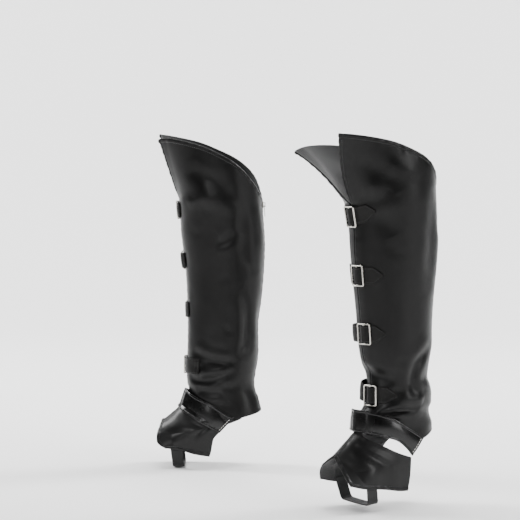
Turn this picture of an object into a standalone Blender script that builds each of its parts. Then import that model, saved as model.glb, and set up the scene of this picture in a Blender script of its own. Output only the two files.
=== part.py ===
"""A pair of over-the-knee boot covers in black faux leather, as worn.

Each cover is a tall shaft with a notch at the knee, closed by a zip at the back, with four
buckled straps across its front seam. A band crosses the instep, and under it a spat covers
the front of the shoe, held down by an elastic under the sole.

Metres, +Z up. The wearer faces -X. The origin is the middle of the left ankle hollow.
"""

import bisect
import math

import bmesh
import bpy
from mathutils import Matrix, Vector
from mathutils.bvhtree import BVHTree

MM = 0.001

# Cloth and seams, in millimetres
LEATHER_WALL = 1.8
STRAP_WALL = 1.6
TAPE_WALL = 1.0
TAPE_GAP = 0.8
SEAM_GAP = 0.3
HEM_GAP = 0.5
LAY_GAP = 0.4
BAND_WALL = 1.8
BAND_GAP = 1.1

# The cut of the shaft, in millimetres above the floor
NOTCH_HEIGHT = 444.0
ANKLE_HEIGHT = 100.0
ZIP_TOP = 441.0
ZIP_HALF_GAP = 4.2
FRONT_NARROWING = 0.07
WING_REACH_ANGLE = math.radians(78)
SETTLED_ABOVE = 165.0
HEM_LOWEST = 82.0

# Straps and buckles, in millimetres
STRAP_WIDTH = 25.0
STRAP_POINT = 14.0
BUCKLE_WIDTH = 23.5
BUCKLE_HEIGHT = 31.0
BUCKLE_BAR = 2.6
BUCKLE_THICK = 2.4
BUCKLE_CORNER = 3.0
HUMP_HALF = 8.6

# Zip, in millimetres
TEETH_WIDTH = 4.6
TEETH_THICK = 2.0
TAPE_WIDTH = 11.0
SLIDER_HEIGHT = 432.0
SLIDER_SIZE = (8.0, 11.0, 2.2)
BRIDGE_WIDTH = 1.4
BRIDGE_BAR = 1.0
BRIDGE_REACH = 3.6
BRIDGE_ROOM = 2.4
PULL_LENGTH = 20.0
PULL_WIDTH = 5.4
PULL_THICK = 1.0
PULL_SLOT = (2.4, 4.3)

# Elastic under the sole, in millimetres
ELASTIC_WIDTH = 19.0
ELASTIC_WALL = 1.2
ELASTIC_TUCK = 9.0
SOLE_HALF = 33.0
SOLE_HEIGHT = 2.0

# How far round from the front centre the hem and the top edge stand, and how high.
# Columns: angle in degrees, height in millimetres
HEM = ((0, 114), (22, 109), (45, 100), (70, 89), (95, 82), (115, 82), (145, 87), (180, 92))
# Columns: angle in degrees, lateral height, medial height
RIGHT_TOP_EDGE = (
    (0, 549, 539),
    (30, 546, 540),
    (60, 538, 532),
    (85, 526, 520),
    (110, 512, 504),
    (130, 497, 486),
    (150, 478, 465),
    (165, 458, 450),
    (180, 443, 443),
)
LEFT_TOP_EDGE = (
    (0, 546, 537),
    (30, 543, 538),
    (60, 535, 530),
    (85, 523, 518),
    (110, 509, 502),
    (130, 494, 484),
    (150, 476, 464),
    (165, 457, 450),
    (180, 443, 443),
)

# Sections of each worn shaft, bottom to top.
# Columns: height, front, back, half width
RIGHT_SECTIONS = (
    (80, 64, -66, 38.5),
    (91, 62, -65.5, 38),
    (112, 56, -60.5, 36.5),
    (125, 54, -55.5, 36.5),
    (138, 57, -54, 37.5),
    (152, 58, -55.5, 39),
    (185, 57, -60.5, 41),
    (238, 56.2, -60.5, 43),
    (275, 57, -65.5, 45),
    (321, 59.3, -69.6, 48),
    (364, 64.2, -71.3, 52),
    (387, 67, -70.4, 54),
    (407, 68, -68.8, 57),
    (443, 70.6, -66.3, 63),
    (500, 72, -66, 67),
    (550, 73, -66, 68),
)
LEFT_SECTIONS = (
    (80, 70, -58, 38),
    (92, 69, -58, 37),
    (104, 68, -58.5, 36),
    (120, 66, -54.5, 36),
    (135, 62, -53.5, 36),
    (146, 55, -57, 37),
    (155, 50, -57, 37.5),
    (163, 47.5, -57, 38),
    (174, 46.5, -54.5, 38.5),
    (186, 45, -49.5, 38.5),
    (198, 47, -50.5, 39.5),
    (212, 53.5, -53.7, 41),
    (233, 58, -58.8, 42.5),
    (256, 59.8, -59.4, 43.5),
    (286, 61.4, -61.6, 45),
    (315, 63.6, -64.8, 47),
    (359, 66.7, -69.7, 51),
    (388, 67.7, -71.5, 54),
    (403, 67.4, -69.4, 56),
    (424, 68.6, -68, 58.5),
    (446, 72.6, -66.2, 61.5),
    (470, 73, -65.6, 63),
    (500, 72, -65, 64.5),
    (550, 72, -65, 64),
)

# Straps from the bottom up; arcs are measured round from the front seam, lateral positive.
# Columns: height, arc to the sewn end, to the buckle, to the tip, how far it stands proud
# before the buckle, how much higher its sewn end lies
RIGHT_STRAPS = (
    (167.5, -40, 13, 47, 2.5, 0),
    (259.7, -15, 24, 58, 2.5, 0),
    (341, -14, 17, 52, 4.5, 0),
    (424, -14, 12, 46, 2.5, 0),
)
LEFT_STRAPS = (
    (167, -40, 6.5, 43, 8.0, 4),
    (257.5, -36, 8.5, 40, 5.0, 0),
    (342, -18, 5, 44, 2.0, 2),
    (427, -18, -1.5, 41, 1.5, 2),
)

# The largest folds of each worn shaft: curves on the cloth, with the lateral side positive.
# Columns: angle and height where it starts, at its middle and where it ends, depth, width
RIGHT_FOLDS = (
    (-44, 492, -84, 468, -118, 432, -3.0, 8),
    (-70, 485, -88, 478, -106, 466, -2.0, 9),
    (-38, 432, -74, 442, -100, 420, 2.4, 8),
    (-80, 371, -94, 374, -106, 392, -2.6, 7),
    (-130, 477, -122, 393, -120, 309, -4.0, 9),
    (-114, 294, -134, 237, -120, 180, -3.6, 9),
    (-34, 193, -76, 178, -114, 177, -3.2, 7),
    (-52, 157, -74, 160, -98, 162, 3.0, 9),
    (-26, 151, -66, 144, -114, 162, -3.2, 6),
    (-40, 131, -66, 128, -92, 125, -1.8, 6),
    (38, 498, 80, 474, 112, 436, -3.0, 8),
    (126, 470, 120, 388, 118, 300, -3.6, 9),
    (108, 288, 132, 240, 116, 184, -3.6, 9),
    (58, 398, 84, 378, 104, 390, -2.4, 8),
    (28, 197, 74, 182, 116, 172, -3.2, 7),
    (58, 160, 82, 156, 102, 160, 2.8, 9),
    (26, 146, 70, 142, 112, 156, -3.0, 6),
)
LEFT_FOLDS = (
    (22, 508, 46, 492, 68, 462, -3.0, 8),
    (26, 469, 38, 465, 52, 458, 2.2, 8),
    (58, 502, 76, 495, 96, 480, 2.4, 9),
    (34, 442, 47, 456, 60, 466, -2.0, 7),
    (40, 430, 51, 414, 60, 398, -2.2, 9),
    (126, 468, 118, 386, 116, 306, -3.4, 9),
    (134, 236, 92, 200, 96, 162, -3.2, 8),
    (-24, 210, 16, 198, 58, 188, -3.4, 9),
    (34, 135, 66, 141, 106, 141, -3.4, 6),
    (56, 130, 68, 124, 78, 116, -2.4, 6),
    (60, 158, 84, 160, 110, 152, 2.6, 8),
    (-30, 500, -58, 482, -86, 440, -3.0, 8),
    (-128, 470, -120, 392, -118, 312, -3.6, 9),
    (-116, 292, -132, 240, -118, 190, -3.6, 9),
    (-58, 398, -80, 380, -102, 392, -2.4, 8),
    (-44, 190, -76, 176, -114, 172, -3.2, 7),
    (-40, 150, -70, 146, -110, 158, -3.2, 6),
)
DEGREE_WIDTH = 0.95

# The instep band's two edges on one side, from the front seam to its sewn end.
# Columns: forward, sideways, height
RIGHT_BAND_TOP = (
    (61.4, 0, 129.3),
    (57, 12, 126),
    (44.3, 26, 117.6),
    (16.4, 38, 105.3),
    (-13.6, 40, 87),
    (-20.5, 40, 84.8),
)
RIGHT_BAND_BOTTOM = (
    (72.1, 0, 97.8),
    (66, 14, 92.5),
    (46.5, 30, 82.1),
    (22.9, 40, 68.5),
    (5.9, 41, 60.8),
    (3.5, 41, 59),
)
LEFT_BAND_TOP = (
    (75.1, 0, 147.2),
    (71, 11, 146.6),
    (65.3, 20, 144.8),
    (49.7, 29, 138.4),
    (31.8, 36, 128.4),
    (10.5, 39, 109),
    (-18.7, 39, 84.5),
)
LEFT_BAND_BOTTOM = (
    (79.1, 0, 107.2),
    (76, 10, 106.6),
    (70.7, 20, 105.4),
    (62, 27, 102.3),
    (46, 34, 95.2),
    (28.8, 39, 87.1),
    (15.2, 41, 74),
    (6.3, 41, 62),
)

# The spat's edges on one side: ridge and bottom from front to back, front from the ridge
# down, top from the ridge back, and back from the top down.
# Columns: forward, sideways, height
RIGHT_SPAT_RIDGE = ((100.2, 0, 75.5), (94.7, 0, 78.6), (86.4, 0, 85.2), (78.1, 0, 92))
RIGHT_SPAT_FRONT = (
    (100.2, 0, 75.5),
    (102.5, 9, 70.5),
    (104.5, 17, 64.5),
    (106.8, 26, 57.2),
    (106.4, 34, 44.5),
    (101, 38, 38.5),
    (92.3, 40, 33.9),
)
RIGHT_SPAT_BOTTOM = ((92.3, 40, 33.9), (68.7, 40, 30.6), (44.1, 37, 23), (20.2, 34, 18.6))
RIGHT_SPAT_BACK = ((-8, 37.5, 72), (5, 37.5, 58), (13, 36.5, 48), (17, 35.5, 28), (20.2, 34, 18.6))
LEFT_SPAT_RIDGE = ((116.1, 0, 75), (104, 0, 83.6), (92.6, 0, 91.7), (79.3, 0, 102.9))
LEFT_SPAT_FRONT = (
    (116.1, 0, 75),
    (118, 11, 67),
    (119, 22, 57.4),
    (118.6, 31, 47),
    (117, 38, 38.5),
)
LEFT_SPAT_BOTTOM = ((117, 38, 38.5), (92.5, 40, 29.5), (59.5, 38, 22), (29.7, 36, 13.5), (14, 35, 11))
LEFT_SPAT_BACK = ((-8, 37.5, 72), (5, 38.5, 57), (8.6, 36.5, 34), (14, 35, 11))
LEFT_SPAT_OPEN_TOP = ((72, 17, 99), (49.1, 31, 83.1), (27.3, 37, 69.8), (6.5, 39, 60))
LEFT_SPAT_OPEN_BACK = ((8.6, 36.5, 34), (14, 35, 11))

# How finely the meshes are divided; the spat's columns meet the shaft's along the hem
SHAFT_ROWS = 32
SHAFT_COLUMNS = 17
SPAT_COLUMNS = 15
SPAT_HEM_COLUMNS = 11
SPAT_CORNER = 0.6

# The largest folds of the spat, down from its ridge and back from its front edge.
# Columns: down and back where it starts, where it ends, depth, width, as shares
SPAT_FOLDS = (
    (0.20, 0.10, 0.98, 0.20, -2.6, 0.07),
    (0.30, 0.44, 0.95, 0.36, 1.6, 0.10),
    (0.34, 0.62, 0.92, 0.60, -1.4, 0.10),
)

# Where each cover stands and how the leg in it is bent.
# Angles in degrees, lengths in millimetres
STANCE_LENGTH = 263.4
STANCE_WIDTH = 330.6
ANKLE_DROP = 13.9
BALL_FORWARD = 150.0
COVERS = {
    "left": {
        "sections": LEFT_SECTIONS,
        "top_edge": LEFT_TOP_EDGE,
        "folds": LEFT_FOLDS,
        "straps": LEFT_STRAPS,
        "band_top": LEFT_BAND_TOP,
        "band_bottom": LEFT_BAND_BOTTOM,
        "spat_ridge": LEFT_SPAT_RIDGE,
        "spat_front": LEFT_SPAT_FRONT,
        "spat_bottom": LEFT_SPAT_BOTTOM,
        "spat_top": {1: LEFT_SPAT_OPEN_TOP, -1: None},
        "spat_back": {1: LEFT_SPAT_OPEN_BACK, -1: LEFT_SPAT_BACK},
        "spat_reach": {1: 0.0, -1: 5.0},
        "elastic": 80.0,
        "ankle": (0.0, 0.0, 0.0),
        "forward": (-math.cos(math.radians(33)), -math.sin(math.radians(33))),
        "lateral": (math.sin(math.radians(33)), -math.cos(math.radians(33))),
        "heel_pitch": 5.5,
        "lean": 2.0,
        "settle": 16.0,
        "wing_tips": {1: (113, 30, 546, 0.9), -1: (135, -46, 537, 0.75)},
        "wing_droop": {1: 0.0, -1: 16.0},
    },
    "right": {
        "sections": RIGHT_SECTIONS,
        "top_edge": RIGHT_TOP_EDGE,
        "folds": RIGHT_FOLDS,
        "straps": RIGHT_STRAPS,
        "band_top": RIGHT_BAND_TOP,
        "band_bottom": RIGHT_BAND_BOTTOM,
        "spat_ridge": RIGHT_SPAT_RIDGE,
        "spat_front": RIGHT_SPAT_FRONT,
        "spat_bottom": RIGHT_SPAT_BOTTOM,
        "spat_top": {1: None, -1: None},
        "spat_back": {1: RIGHT_SPAT_BACK, -1: RIGHT_SPAT_BACK},
        "spat_reach": {1: 0.0, -1: 0.0},
        "elastic": 74.0,
        "ankle": (-STANCE_LENGTH, STANCE_WIDTH, -ANKLE_DROP),
        "forward": (-1.0, 0.0),
        "lateral": (0.0, 1.0),
        "heel_pitch": 0.0,
        "lean": 0.0,
        "settle": 0.0,
        "wing_tips": {1: (104, 30, 549, 0.9), -1: (102, -29, 539, 0.9)},
        "wing_droop": {1: 0.0, -1: 0.0},
    },
}
SIDES = {1: "lateral", -1: "medial"}

# Finish of each kind of piece: colour, roughness, metallic
FINISHES = {
    "shaft": ((0.018, 0.018, 0.019), 0.42, 0.0),
    "strap": ((0.026, 0.025, 0.023), 0.5, 0.0),
    "band": ((0.016, 0.016, 0.017), 0.36, 0.0),
    "spat": ((0.018, 0.018, 0.019), 0.4, 0.0),
    "tape": ((0.01, 0.01, 0.01), 0.85, 0.0),
    "metal": ((0.72, 0.72, 0.7), 0.28, 1.0),
    "elastic": ((0.014, 0.014, 0.014), 0.8, 0.0),
}


def smooth(t):
    """0 below 0, 1 above 1, and an even rise between."""
    t = min(max(t, 0.0), 1.0)
    return t * t * (3 - 2 * t)


def spline(rows, x):
    """The row of a table at x, its first column, read along a smooth curve."""
    keys = [row[0] for row in rows]
    x = min(max(x, keys[0]), keys[-1])
    i = min(max(bisect.bisect_right(keys, x) - 1, 0), len(keys) - 2)
    span = keys[i + 1] - keys[i]
    t = (x - keys[i]) / span
    values = []
    for column in range(1, len(rows[0])):
        slopes = []
        for j in (i, i + 1):
            a, b = max(j - 1, 0), min(j + 1, len(rows) - 1)
            slopes.append((rows[b][column] - rows[a][column]) / (keys[b] - keys[a]))
        p, q = rows[i][column], rows[i + 1][column]
        values.append(
            (2 * t**3 - 3 * t**2 + 1) * p
            + (t**3 - 2 * t**2 + t) * span * slopes[0]
            + (3 * t**2 - 2 * t**3) * q
            + (t**3 - t**2) * span * slopes[1]
        )
    return values


def along(points, t):
    """The point a fraction t of the way along a smooth curve through these points."""
    lengths = [0.0]
    for a, b in zip(points, points[1:]):
        lengths.append(lengths[-1] + (Vector(b) - Vector(a)).length)
    rows = [(length, *point) for length, point in zip(lengths, points)]
    return Vector(spline(rows, t * lengths[-1]))


def fold_line(row):
    """A fold as short straight steps on the laid-out cloth, with its depth and width."""
    (a0, h0, a1, h1, a2, h2, depth, width), steps = row, 8
    line = []
    for step in range(steps + 1):
        t = step / steps
        a = (1 - t) ** 2 * a0 + 2 * t * (1 - t) * (2 * a1 - (a0 + a2) / 2) + t * t * a2
        h = (1 - t) ** 2 * h0 + 2 * t * (1 - t) * (2 * h1 - (h0 + h2) / 2) + t * t * h2
        line.append((a * DEGREE_WIDTH, h))
    return line, depth, width


def fold_height(folds, x, y):
    """How far the folds push the cloth out at a point of the laid-out cloth."""
    total = 0.0
    for line, depth, width in folds:
        best, share = 1e9, 0.0
        for i, ((ax, ay), (bx, by)) in enumerate(zip(line, line[1:])):
            dx, dy = bx - ax, by - ay
            t = min(max(((x - ax) * dx + (y - ay) * dy) / (dx * dx + dy * dy), 0), 1)
            far = math.hypot(x - ax - t * dx, y - ay - t * dy)
            if far < best:
                best, share = far, (i + t) / (len(line) - 1)
        if best < 3 * width:
            off = (best / width) ** 2
            total += depth * (1 - off) * math.exp(-0.6 * off) * math.sin(math.pi * share) ** 0.7
    return total


class Cover:
    """One worn cover: where a point of its cut lies on the leg, and in the room."""

    def __init__(self, name, facts):
        self.name = name
        self.facts = facts
        self.folds = [fold_line(row) for row in facts["folds"]]
        self.surfaces = []
        self.pitch = math.radians(facts["heel_pitch"])
        self.bend = math.radians(facts["lean"]) - self.pitch
        self.ankle = self.turned(Vector((0, 0, ANKLE_HEIGHT)), self.pitch, BALL_FORWARD, 0)

    @staticmethod
    def turned(point, angle, x, z):
        """The point turned toe-down about a sideways line at (x, z)."""
        c, s = math.cos(angle), math.sin(angle)
        dx, dz = point.x - x, point.z - z
        return Vector((x + dx * c + dz * s, point.y, z - dx * s + dz * c))

    def room(self, point):
        """A point of the upright cover, in millimetres, in the room, in metres."""
        settled = self.facts["settle"] * smooth((point.z - HEM_LOWEST) / (SETTLED_ABOVE - HEM_LOWEST))
        point = Vector((point.x, point.y, point.z - settled))
        above = smooth((point.z - 70) / 70)
        point = self.turned(point, self.bend * above, 0, ANKLE_HEIGHT)
        point = self.turned(point, self.pitch, BALL_FORWARD, 0)
        ahead, out, up = point.x - self.ankle.x, point.y, point.z - self.ankle.z
        forward, lateral = self.facts["forward"], self.facts["lateral"]
        flat = [forward[i] * ahead + lateral[i] * out for i in (0, 1)]
        return (Vector((*flat, up)) + Vector(self.facts["ankle"])) * MM

    def upright(self, angle, height):
        """The shaft's outer face at an angle from the front, lateral positive, in millimetres."""
        front, back, half = spline(self.facts["sections"], height)
        side = -1 if angle < 0 else 1
        x = (front + back) / 2 + (front - back) / 2 * math.cos(angle)
        y = half * math.sin(angle) * (1 - FRONT_NARROWING * math.cos(angle))
        point = Vector((x, y + side * SEAM_GAP / 2, height))
        fold = fold_height(self.folds, math.degrees(angle) * DEGREE_WIDTH, height)
        point += Vector((math.cos(angle), math.sin(angle), 0)) * fold
        if height > NOTCH_HEIGHT:
            tip = self.facts["wing_tips"][side]
            rise = (height - NOTCH_HEIGHT) / (tip[2] - NOTCH_HEIGHT)
            notch = spline(self.facts["sections"], NOTCH_HEIGHT)[0]
            edge = (notch + (tip[0] - notch) * rise ** tip[3], tip[1] * rise**2)
            hold = 1 - smooth(abs(angle) / WING_REACH_ANGLE)
            point.x += (edge[0] - front) * hold
            point.y += edge[1] * hold
            point.z -= self.facts["wing_droop"][side] * hold * rise**2
        return point

    def skin(self, angle, height, out=0.0):
        """The shaft's face in the room, moved out by some millimetres."""
        point = self.room(self.upright(angle, height))
        if not out:
            return point
        return point + self.normal(angle, height) * out * MM

    def normal(self, angle, height):
        """The way out of the cloth at a point of it."""
        side = -1 if angle < 0 else 1
        low, high = angle - 0.02, angle + 0.02
        if side * angle <= 0.02:
            low, high = sorted((angle, angle + side * 0.04))
        across = self.room(self.upright(high, height)) - self.room(self.upright(low, height))
        above, below = self.upright(angle, height + 2), self.upright(angle, height - 2)
        found = across.cross(self.room(above) - self.room(below)).normalized()
        outward = self.room(self.upright(angle, height)) - self.room(Vector((0, 0, height)))
        return found if found.dot(outward) > 0 else -found

    def clear(self, point, room, way=1):
        """The point, moved out (or in) where it is closer than this to the cloth's outer face."""
        for _ in range(3):
            found = [tree.find_nearest(point) for tree in self.surfaces]
            near, out, _, _ = min(found, key=lambda hit: hit[3])
            lack = room * MM - way * (point - near).dot(out)
            if 0 < lack < 12 * MM:
                point = point + way * out * lack
        return point

    def arc_angle(self, arc, height):
        """The angle at which this arc length from the front seam ends."""
        front, back, half = spline(self.facts["sections"], height)
        a, angle, left = (front - back) / 2, 0.0, abs(arc)
        step = math.radians(0.5)
        while left > 0:
            left -= step * math.hypot(a * math.sin(angle), half * math.cos(angle))
            angle += step
        return math.copysign(angle, arc)


def finish(name, kind):
    """The Principled material of one piece."""
    colour, roughness, metallic = FINISHES[kind]
    made = bpy.data.materials.new(name)
    made.use_nodes = True
    shader = made.node_tree.nodes["Principled BSDF"]
    shader.inputs["Base Color"].default_value = (*colour, 1)
    shader.inputs["Roughness"].default_value = roughness
    shader.inputs["Metallic"].default_value = metallic
    return made


def add_object(name, data, kind):
    made = bpy.data.objects.new(name, data)
    data.materials.append(finish(name, kind))
    bpy.data.collections["boot covers"].objects.link(made)
    return made


def sheet(name, point, columns, rows, wall, kind, inside):
    """A cloth wall: a grid bent through point(u, v), its outer face, thickened towards inside."""
    shape = bmesh.new()
    bmesh.ops.create_grid(shape, x_segments=columns, y_segments=rows, size=0.5)
    for vert in shape.verts:
        vert.co = point(vert.co.x + 0.5, vert.co.y + 0.5)
    shape.normal_update()
    facing = sum(face.normal.dot(face.calc_center_median() - inside) for face in shape.faces)
    if facing < 0:
        bmesh.ops.reverse_faces(shape, faces=shape.faces)
    outer = BVHTree.FromBMesh(shape)
    mesh = bpy.data.meshes.new(name)
    shape.to_mesh(mesh)
    shape.free()
    mesh.shade_smooth()
    thick = add_object(name, mesh, kind).modifiers.new("wall", "SOLIDIFY")
    thick.thickness = wall * MM
    thick.offset = -1
    return outer


def from_seam(cover, side, stations, point):
    """The same surface with its first column square to the middle plane where it starts there."""
    lateral = Vector((*cover.facts["lateral"], 0)) * side
    plane = lateral.dot(Vector(cover.facts["ankle"])) * MM

    def placed(u, v):
        column = round(u * (len(stations) - 1))
        if column > 0:
            return point(stations[column], v)
        edge, near = point(0, v), point(stations[1], v)
        if lateral.dot(edge) - plane > MM:
            return edge
        return near - lateral * (lateral.dot(near) - plane - SEAM_GAP / 2 * MM)

    return placed


def table_at(rows, angle, column=0):
    return spline(rows, math.degrees(abs(angle)))[column]


def shaft_rows(t):
    """Rows lie closer together round the ankle, where the cloth folds most."""
    return 0.26 * t / 0.42 if t < 0.42 else 0.26 + 0.74 * (t - 0.42) / 0.58


def shaft_height(t):
    """The height of the shaft's rows beside the zip, within the zip's own length."""
    low = HEM[-1][1]
    return min(max(low + (NOTCH_HEIGHT - 1 - low) * shaft_rows(t), low + 1), ZIP_TOP)


def shaft_stations():
    """Shares of the way from the front seam to the zip at which the shaft's columns stand."""
    first = 0.009
    steps = SHAFT_COLUMNS - 1
    return [0.0] + [first + (1 - first) * step / steps for step in range(steps + 1)]


def shaft_turn(cover, height):
    """The angle from the front seam to the panel's edge beside the zip."""
    return math.pi - ZIP_HALF_GAP / spline(cover.facts["sections"], height)[2]


def make_shaft(cover, side):
    """One side panel, from the front seam round to the zip."""
    column = 0 if side > 0 else 1

    def point(u, v):
        angle = u * math.pi
        low = table_at(HEM, angle)
        high = table_at(cover.facts["top_edge"], angle, column)
        height = low + (high - low) * shaft_rows(v)
        return cover.skin(side * max(u * shaft_turn(cover, height), 1e-6), height)

    name = f"{cover.name}_shaft_{SIDES[side]}"
    inside = cover.room(Vector((0, 0, 280)))
    point = from_seam(cover, side, shaft_stations(), point)
    return sheet(name, point, SHAFT_COLUMNS, SHAFT_ROWS, LEATHER_WALL, "shaft", inside)


def bar_rise(cover, strap):
    """How far the flat buckle stands out, so that the strap fits under its outer bars."""
    height, _, arc = strap[:3]
    angle = cover.arc_angle(arc, height)
    middle, out = cover.skin(angle, height), cover.normal(angle, height)
    rise = 0.0
    for across in (-1, -0.8, 0, 0.8, 1):
        cloth = 0 if across == 0 else LAY_GAP + STRAP_WALL + 0.35
        there = cover.arc_angle(arc + across * BUCKLE_WIDTH / 2, height)
        for up in (-1, -0.5, 0, 0.5, 1):
            point = cover.clear(cover.skin(there, height + up * BUCKLE_HEIGHT / 2), 0)
            rise = max(rise, (point - middle).dot(out) / MM + cloth)
    return rise + LAY_GAP


def make_strap(cover, number, strap):
    """A strap lying on the shaft, over its buckle's middle bar, with a pointed end."""
    height, root, arc, tip, proud, slant = strap
    hump = bar_rise(cover, strap) + BUCKLE_THICK + 0.15
    slack, sleeve = arc - 11, tip - STRAP_POINT
    stations = [root + (slack - root) * step / 5 for step in range(6)]
    stations += [arc + way for way in (-8, -6, -3.8, -1.6, 1.6, 3.8, 6, 8, 11)]
    stations += [arc + 11 + (sleeve - arc - 11) * step / 2 for step in (1, 2)]
    stations += [tip - STRAP_POINT / 2, tip]

    def point(u, v):
        s = stations[round(u * (len(stations) - 1))]
        past = max(0.0, s - sleeve) / STRAP_POINT
        away = min(1, max(0, (arc - HUMP_HALF - s) / (arc - HUMP_HALF - root)))
        half = (STRAP_WIDTH / 2 + slant * smooth(away)) * (1 - 0.85 * past)
        fall = min(1, max(0, abs(s - arc) - 1.6) / (HUMP_HALF - 1.6))
        lift = hump * math.cos(math.pi / 2 * fall) ** 2
        if s < slack:
            lift += proud * math.sin(math.pi * (s - root) / (slack - root))
            lift *= 1 - 0.4 * (2 * v - 1) ** 2
        z = height + slant * smooth(away) + (2 * v - 1) * half
        place = cover.skin(cover.arc_angle(s, height), z, LAY_GAP + STRAP_WALL + lift)
        return cover.clear(place, LAY_GAP + STRAP_WALL + 0.25)

    inside = cover.room(Vector((0, 0, height)))
    name = f"{cover.name}_strap_{number}"
    sheet(name, point, len(stations) - 1, 2, STRAP_WALL, "strap", inside)


def rounded_box(width, height, corner, steps):
    """The outline of a rectangle with round corners, anticlockwise."""
    points = []
    for quarter in range(4):
        cx = (width / 2 - corner) * (1 if quarter in (0, 3) else -1)
        cy = (height / 2 - corner) * (1 if quarter in (0, 1) else -1)
        for step in range(steps + 1):
            turn = math.pi / 2 * (quarter + step / steps)
            points.append((cx + corner * math.cos(turn), cy + corner * math.sin(turn)))
    return points


def plate(name, outlines, thick, kind, place):
    """A flat plate with holes: the first outline is its edge, the others its holes."""
    curve = bpy.data.curves.new(name, "CURVE")
    curve.dimensions = "2D"
    curve.fill_mode = "BOTH"
    curve.extrude = thick / 2 * MM
    for outline in outlines:
        line = curve.splines.new("POLY")
        line.points.add(len(outline) - 1)
        for point, (x, y) in zip(line.points, outline):
            point.co = (x * MM, y * MM, 0, 1)
        line.use_cyclic_u = True
    made = add_object(name, curve, kind)
    made.matrix_world = place
    return made


def frame_at(origin, across, out):
    """A placing matrix with its X across, its Y up along the cloth and its Z out of it."""
    out = out.normalized()
    across = (across - out * across.dot(out)).normalized()
    turn = Matrix((across, out.cross(across), out)).transposed().to_4x4()
    return Matrix.Translation(origin) @ turn


def make_buckle(cover, number, strap):
    """A flat metal frame with a middle bar, under which the cloth's strap is threaded."""
    height, _, arc = strap[:3]
    angle = cover.arc_angle(arc, height)
    out = cover.normal(angle, height)
    before, after = cover.arc_angle(arc - 2, height), cover.arc_angle(arc + 2, height)
    across = cover.skin(after, height) - cover.skin(before, height)
    rise = bar_rise(cover, strap) + BUCKLE_THICK / 2
    origin = cover.skin(angle, height) + out * rise * MM
    slot_width = (BUCKLE_WIDTH - 3 * BUCKLE_BAR) / 2
    slot_height = BUCKLE_HEIGHT - 2 * BUCKLE_BAR
    outlines = [rounded_box(BUCKLE_WIDTH, BUCKLE_HEIGHT, BUCKLE_CORNER, 3)]
    for way in (-1, 1):
        middle = way * (BUCKLE_BAR + slot_width) / 2
        box = rounded_box(slot_width, slot_height, 0.8, 1)
        outlines.append([(x + middle, y) for x, y in box])
    if cover.name == "right":
        across = -across
    place = frame_at(origin, across, out)
    plate(f"{cover.name}_buckle_{number}", outlines, BUCKLE_THICK, "metal", place)


def back_line(cover, height, across, out):
    """A point behind the zip's middle line, moved sideways and out, in millimetres."""
    front, back, half = spline(cover.facts["sections"], height)
    base = cover.room(cover.upright(math.pi - 1e-6, height) - Vector((0, SEAM_GAP / 2, 0)))
    lateral = Vector((*cover.facts["lateral"], 0))
    backward = -Vector((*cover.facts["forward"], 0))
    fall = across * across * (front - back) / (4 * half * half)
    return base + (lateral * across + backward * (out - fall)) * MM


def make_zip(cover):
    """Two woven tapes behind the panels' back edges, with the closed teeth between them."""
    inside = cover.room(Vector((0, 0, 280)))

    def tape(side):
        def point(u, v):
            across = side * (TEETH_WIDTH / 2 + SEAM_GAP + u * TAPE_WIDTH)
            return back_line(cover, shaft_height(v), across, -LEATHER_WALL - TAPE_GAP)

        name = f"{cover.name}_zip_tape_{SIDES[side]}"
        sheet(name, point, 1, SHAFT_ROWS, TAPE_WALL, "tape", inside)

    tape(1)
    tape(-1)

    def teeth(u, v):
        across = (u - 0.5) * TEETH_WIDTH
        return back_line(cover, shaft_height(v), across, -LEATHER_WALL + TEETH_THICK / 2)

    sheet(f"{cover.name}_zip_teeth", teeth, 1, SHAFT_ROWS, TEETH_THICK, "metal", inside)


def box_part(size, centre):
    """A box as a separate mesh object, used to build a joined piece."""
    shape = bmesh.new()
    bmesh.ops.create_cube(shape, size=1)
    bmesh.ops.scale(shape, vec=Vector(size) * MM, verts=shape.verts)
    bmesh.ops.translate(shape, vec=Vector(centre) * MM, verts=shape.verts)
    mesh = bpy.data.meshes.new("box")
    shape.to_mesh(mesh)
    shape.free()
    return mesh


def joined(name, boxes, kind, place):
    """One solid from boxes that overlap, by Boolean unions."""
    made = add_object(name, box_part(*boxes[0]), kind)
    made.matrix_world = place
    for number, (size, centre) in enumerate(boxes[1:]):
        helper = bpy.data.objects.new(f"{name}_join_{number}", box_part(size, centre))
        bpy.data.collections["cutters"].objects.link(helper)
        helper.hide_render = True
        helper.display_type = "WIRE"
        helper.matrix_world = place
        union = made.modifiers.new(f"join {number}", "BOOLEAN")
        union.operation = "UNION"
        union.object = helper
    return made


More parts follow.
